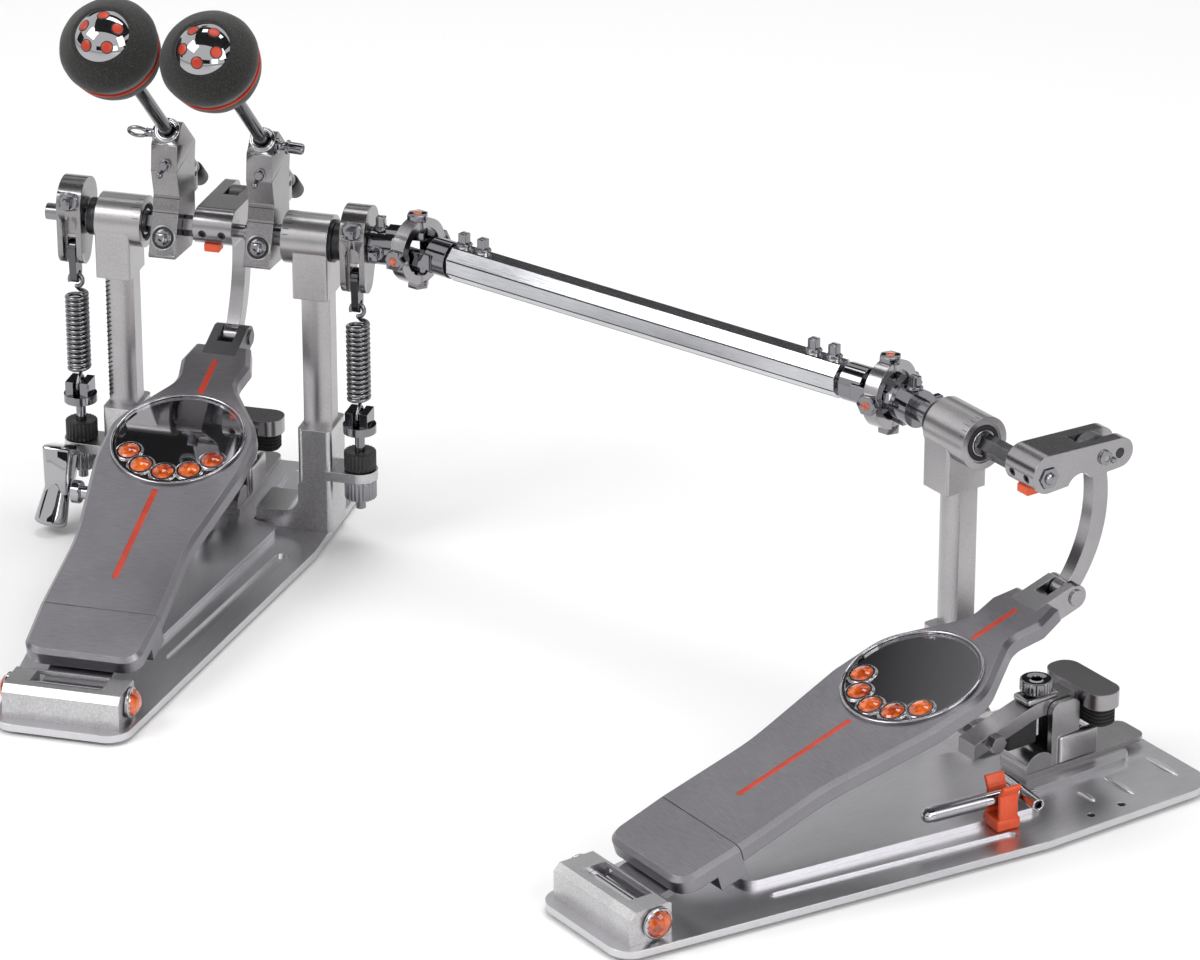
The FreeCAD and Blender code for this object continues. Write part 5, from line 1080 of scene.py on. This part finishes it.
# Clamp lever: chunky chromed thumb piece on its cross shaft, with the eccentric
leverAt = (-82.0, -36.0, 25.6)
leverCfg = {
    "shaft": ([(4.0, 0.0), (4.0, 90.0)], 32, plusX, leverAt), "tilt": -18,
    "eccentric": ([(9.3, 0.0), (9.5, 0.3), (9.5, 9.7), (9.3, 10.0)], 48, plusX, (-5, -36.0, 20.6)),
    "hub": ([(7.0, -1.0), (7.0, 3.4), (6.4, 4.0)], 40, plusX, leverAt),
    # paddle, pinched towards its foot: start and gain of its thickness and width, bow and drift sideways
    "paddle": ((-20.5, -9.5, -3.0), (-1.5, 10.5, 27.0), 3.2, 4), "foot": -3.0, "tall": 30.0, "middle": -11.0,
    "thick": (0.62, 0.42), "wide": (0.78, 0.22), "bow": 3.2, "drift": -1.0,
    # flared barrel below it
    "grip": (eased([(8.6, -21.5), (9.6, -20.6), (9.9, -18.0), (8.4, -4.0), (7.2, 6.0), (6.2, 8.4)], 3), 40),
    "gripX": -11.4, "gripLean": 8, "gripFlat": 0.92,
}


def thumbPiece():
    cfg = leverCfg
    paddle = block(*cfg["paddle"])
    for vertex in paddle.data.vertices:
        x, y, z = vertex.co / mm
        t = (z - cfg["foot"]) / cfg["tall"]
        y *= cfg["thick"][0] + cfg["thick"][1] * t
        x = cfg["middle"] + (x - cfg["middle"]) * (cfg["wide"][0] + cfg["wide"][1] * t)
        x += cfg["bow"] * math.sin(math.pi * t) + cfg["drift"] * t
        vertex.co = Vector((x, y, z)) * mm
    barrel = turned(*cfg["grip"])
    lean = Matrix.Rotation(math.radians(cfg["gripLean"]), 4, "Y")
    barrel.data.transform(Matrix.Translation((cfg["gripX"] * mm, 0, 0)) @ lean)
    for vertex in barrel.data.vertices:
        vertex.co.y *= cfg["gripFlat"]
    return joinAll([paddle, barrel])


leverParts = [lathed(*leverCfg[part]) for part in ("shaft", "eccentric", "hub")]
leverShaft = addPiece(joinAll(leverParts), "leverShaft", "main_clamp_lever", chromePlate)
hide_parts("main_clamp_lever")
leverTilt = Matrix.Rotation(math.radians(leverCfg["tilt"]), 4, "X")
leverPlace = Matrix.Translation(Vector(leverAt) * mm) @ leverTilt
addPiece(thumbPiece(), "leverThumbPiece", "main_clamp_lever", mirrorChrome, leverPlace)
print("lever done")

# Hoop clamps: rubber ribs, tongue under the arm, knurled collar with its stud, side steps and walls
clampCfg = {
    "rib": ((-22.7, 31.8), (22.7, 47.2)), "ribs": (34.3, 36.5, 38.7, 40.9, 43.1), "ribThick": 1.1,
    "ribCorner": (6.2, 6), "tongue": ((-6.9, -18.5, 27.5), (6.9, 2.2, 43.4), 2.0),
    "boss": ((-6.8, -5.0, 51.0), (6.8, 17.0, 55.0), 1.5), "collarZ": (56.4, 63.4), "collarY": 6.0,
    "collar": {"radius": 9.2, "flutes": 30, "fluteDepth": 0.5, "bore": 3.2},
    "stud": ([(3.4, 30.0), (3.4, 55.0), (6.4, 55.1), (6.6, 55.3), (6.6, 56.4), (3.6, 56.5)], 32),
    "hole": ([(2.0, -0.9), (2.0, 0.1), (1.7, 0.15)], 24, (0.45, -0.89, 0), (4.005, -7.921, 59.6)),
    "step": ((7.6, 13.0, 12.8), (13.2, 41.0, 30.2), 2.2, 4),
    "wall": ((7.5, 9.0, 12.8), (11.4, 28.2, 50.3), 5.0, 5), "wallFrom": 30,
}


def alongX(a, b):
    return abs(a.x - b.x) > edgeRun and max(a.z, b.z) > clampCfg["wallFrom"] * mm


for pedal, place in pedals.items():
    cfg, jaw, knob = clampCfg, pedal + "_clamp_jaw", pedal + "_clamp_collar"
    low, high = cfg["rib"]
    ribs = [block((*low, z), (*high, z + cfg["ribThick"]), *cfg["ribCorner"], upright) for z in cfg["ribs"]]
    addPiece(joinAll(ribs), pedal + "PadRibs", jaw, moulded, place)
    addPiece(block(*cfg["tongue"]), pedal + "ClampTongue", jaw, moulded, place)
    addPiece(block(*cfg["boss"]), pedal + "CollarBoss", jaw, machinedAluminium, place)
    spot = place @ Matrix.Translation((0, cfg["collarY"] * mm, 0))
    collar = joinAll([flutedKnob(*cfg["collarZ"], cfg["collar"]), turned(*cfg["stud"])])
    addPiece(collar, pedal + "ClampCollar", knob, darkReflectionChrome, spot)
    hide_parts(pedal + "_clamp_collar")
    # dark disc on the collar: painted shade of its hole
    addPiece(lathed(*cfg["hole"]), pedal + "CollarHoleShade", knob, blackPlasticAndHoleShade, spot)
    steps = blockPair(*cfg["step"]) + blockPair(*cfg["wall"], alongX)
    addPiece(joinAll(steps), pedal + "ClampSteps", pedal + "_base", castAluminium, place)
print("clamps done")

# Base plates: pressed beads beside the clamp
beadCfg = {
    # (radius in mm, share of the length) along a bead
    "line": [(0.4, 0.0), (1.7, 0.12), (2.3, 0.3), (2.6, 0.6), (1.9, 0.86), (0.4, 1.0)],
    "smooth": 3, "sides": 24, "flat": 0.45, "z": 6.4,
    # distance along the plate, and the bead's inner and outer end across it
    "rows": ((10.0, 33.5, 48.0), (33.0, 28.0, 54.0), (67.0, 22.5, 51.0)),
}
for pedal, place in pedals.items():
    beads = []
    for y, x, end in beadCfg["rows"]:
        line = eased([(r, share * (end - x)) for r, share in beadCfg["line"]], beadCfg["smooth"])
        for sign in bothSigns:
            bead = lathed(line, beadCfg["sides"], (sign, 0, 0), (0, 0, 0))
            for vertex in bead.data.vertices:
                vertex.co.z *= beadCfg["flat"]
            bead.data.transform(Matrix.Translation(Vector((sign * x, y, beadCfg["z"])) * mm))
            beads.append(bead)
    addPiece(joinAll(beads), pedal + "PlateBeads", pedal + "_base", pressedPlate[pedal], place, 60)
print("plates done")

# Drum key and its clip
keyCfg = {
    "start": (34.0, -95.0, 24.0), "end": (41.0, -37.0, 24.0), "rings": 22, "ring": (4.15, 0.42),
    "ringStart": 3.0, "ringPitch": 1.5, "rim": (3.1, 0.6), "rimOut": 17.9,
    "pin": ([(1.5, 0.0), (1.5, 6.4), (1.1, 7.0)], 20), "pinOut": 4.0,
    "socket": ([(2.6, 0.0), (2.6, 0.05)], 4), "socketOut": 15.0, "clipShare": 0.8,
    "base": ((-7.5, -8.0, -17.4), (7.5, 8.0, -10.5), 1.6, 4),
    "prong": ((-6.0, 4.75, -12.0), (6.0, 7.3, 5.2), 1.0),
    "tip": ((-6.0, -1.2, 0.0), (6.0, 1.4, 7.0), 1.0), "tipAt": (0, 6.0, 4.0), "tipLean": -30,
}
keyStart, keyEnd = Vector(keyCfg["start"]), Vector(keyCfg["end"])
keyLine = (keyEnd - keyStart).normalized()
keyAcross = Vector((keyLine.y, -keyLine.x, 0))
knurl = []
for i in range(keyCfg["rings"]):
    along = keyCfg["ringStart"] + keyCfg["ringPitch"] * i
    knurl.append(stand(beadRing(*keyCfg["ring"]), keyLine, keyStart + keyLine * along))
for sign in bothSigns:
    knurl.append(stand(beadRing(*keyCfg["rim"]), keyAcross, keyEnd + keyAcross * (sign * keyCfg["rimOut"])))
knurl.append(lathed(*keyCfg["pin"], keyLine, keyEnd + keyAcross * keyCfg["pinOut"]))
addPiece(joinAll(knurl), "drumKeyKnurl", "drum_key", chromePlate, slavePlace)
# thin dark squares at the key's ends: painted shade of its sockets
socketShades = [lathed(*keyCfg["socket"], out, keyEnd + out * keyCfg["socketOut"])
           for out in (-keyAcross, keyAcross)]
addPiece(joinAll(socketShades), "drumKeySocketShade", "drum_key", blackPlasticAndHoleShade, slavePlace)
clip = [block(*keyCfg["base"])]
tipLean = Matrix.Rotation(math.radians(keyCfg["tipLean"]), 4, "X")
for halfTurn in (math.pi, 0):
    prong, tip = block(*keyCfg["prong"]), block(*keyCfg["tip"])
    tip.data.transform(Matrix.Translation(Vector(keyCfg["tipAt"]) * mm) @ tipLean)
    half = joinAll([prong, tip])
    half.data.transform(Matrix.Rotation(halfTurn, 4, "Z"))
    clip.append(half)
clipSpot = Matrix.Translation((keyStart + (keyEnd - keyStart) * keyCfg["clipShare"]) * mm)
clipTurn = Matrix((keyLine, -keyAcross, plusZ)).transposed().to_4x4()
clipPlace = slavePlace @ clipSpot @ clipTurn
clipPiece = addPiece(joinAll(clip), "keyClip", "slave_base", orangeNylon, clipPlace)
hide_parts("key_clip")
print("drum key done")
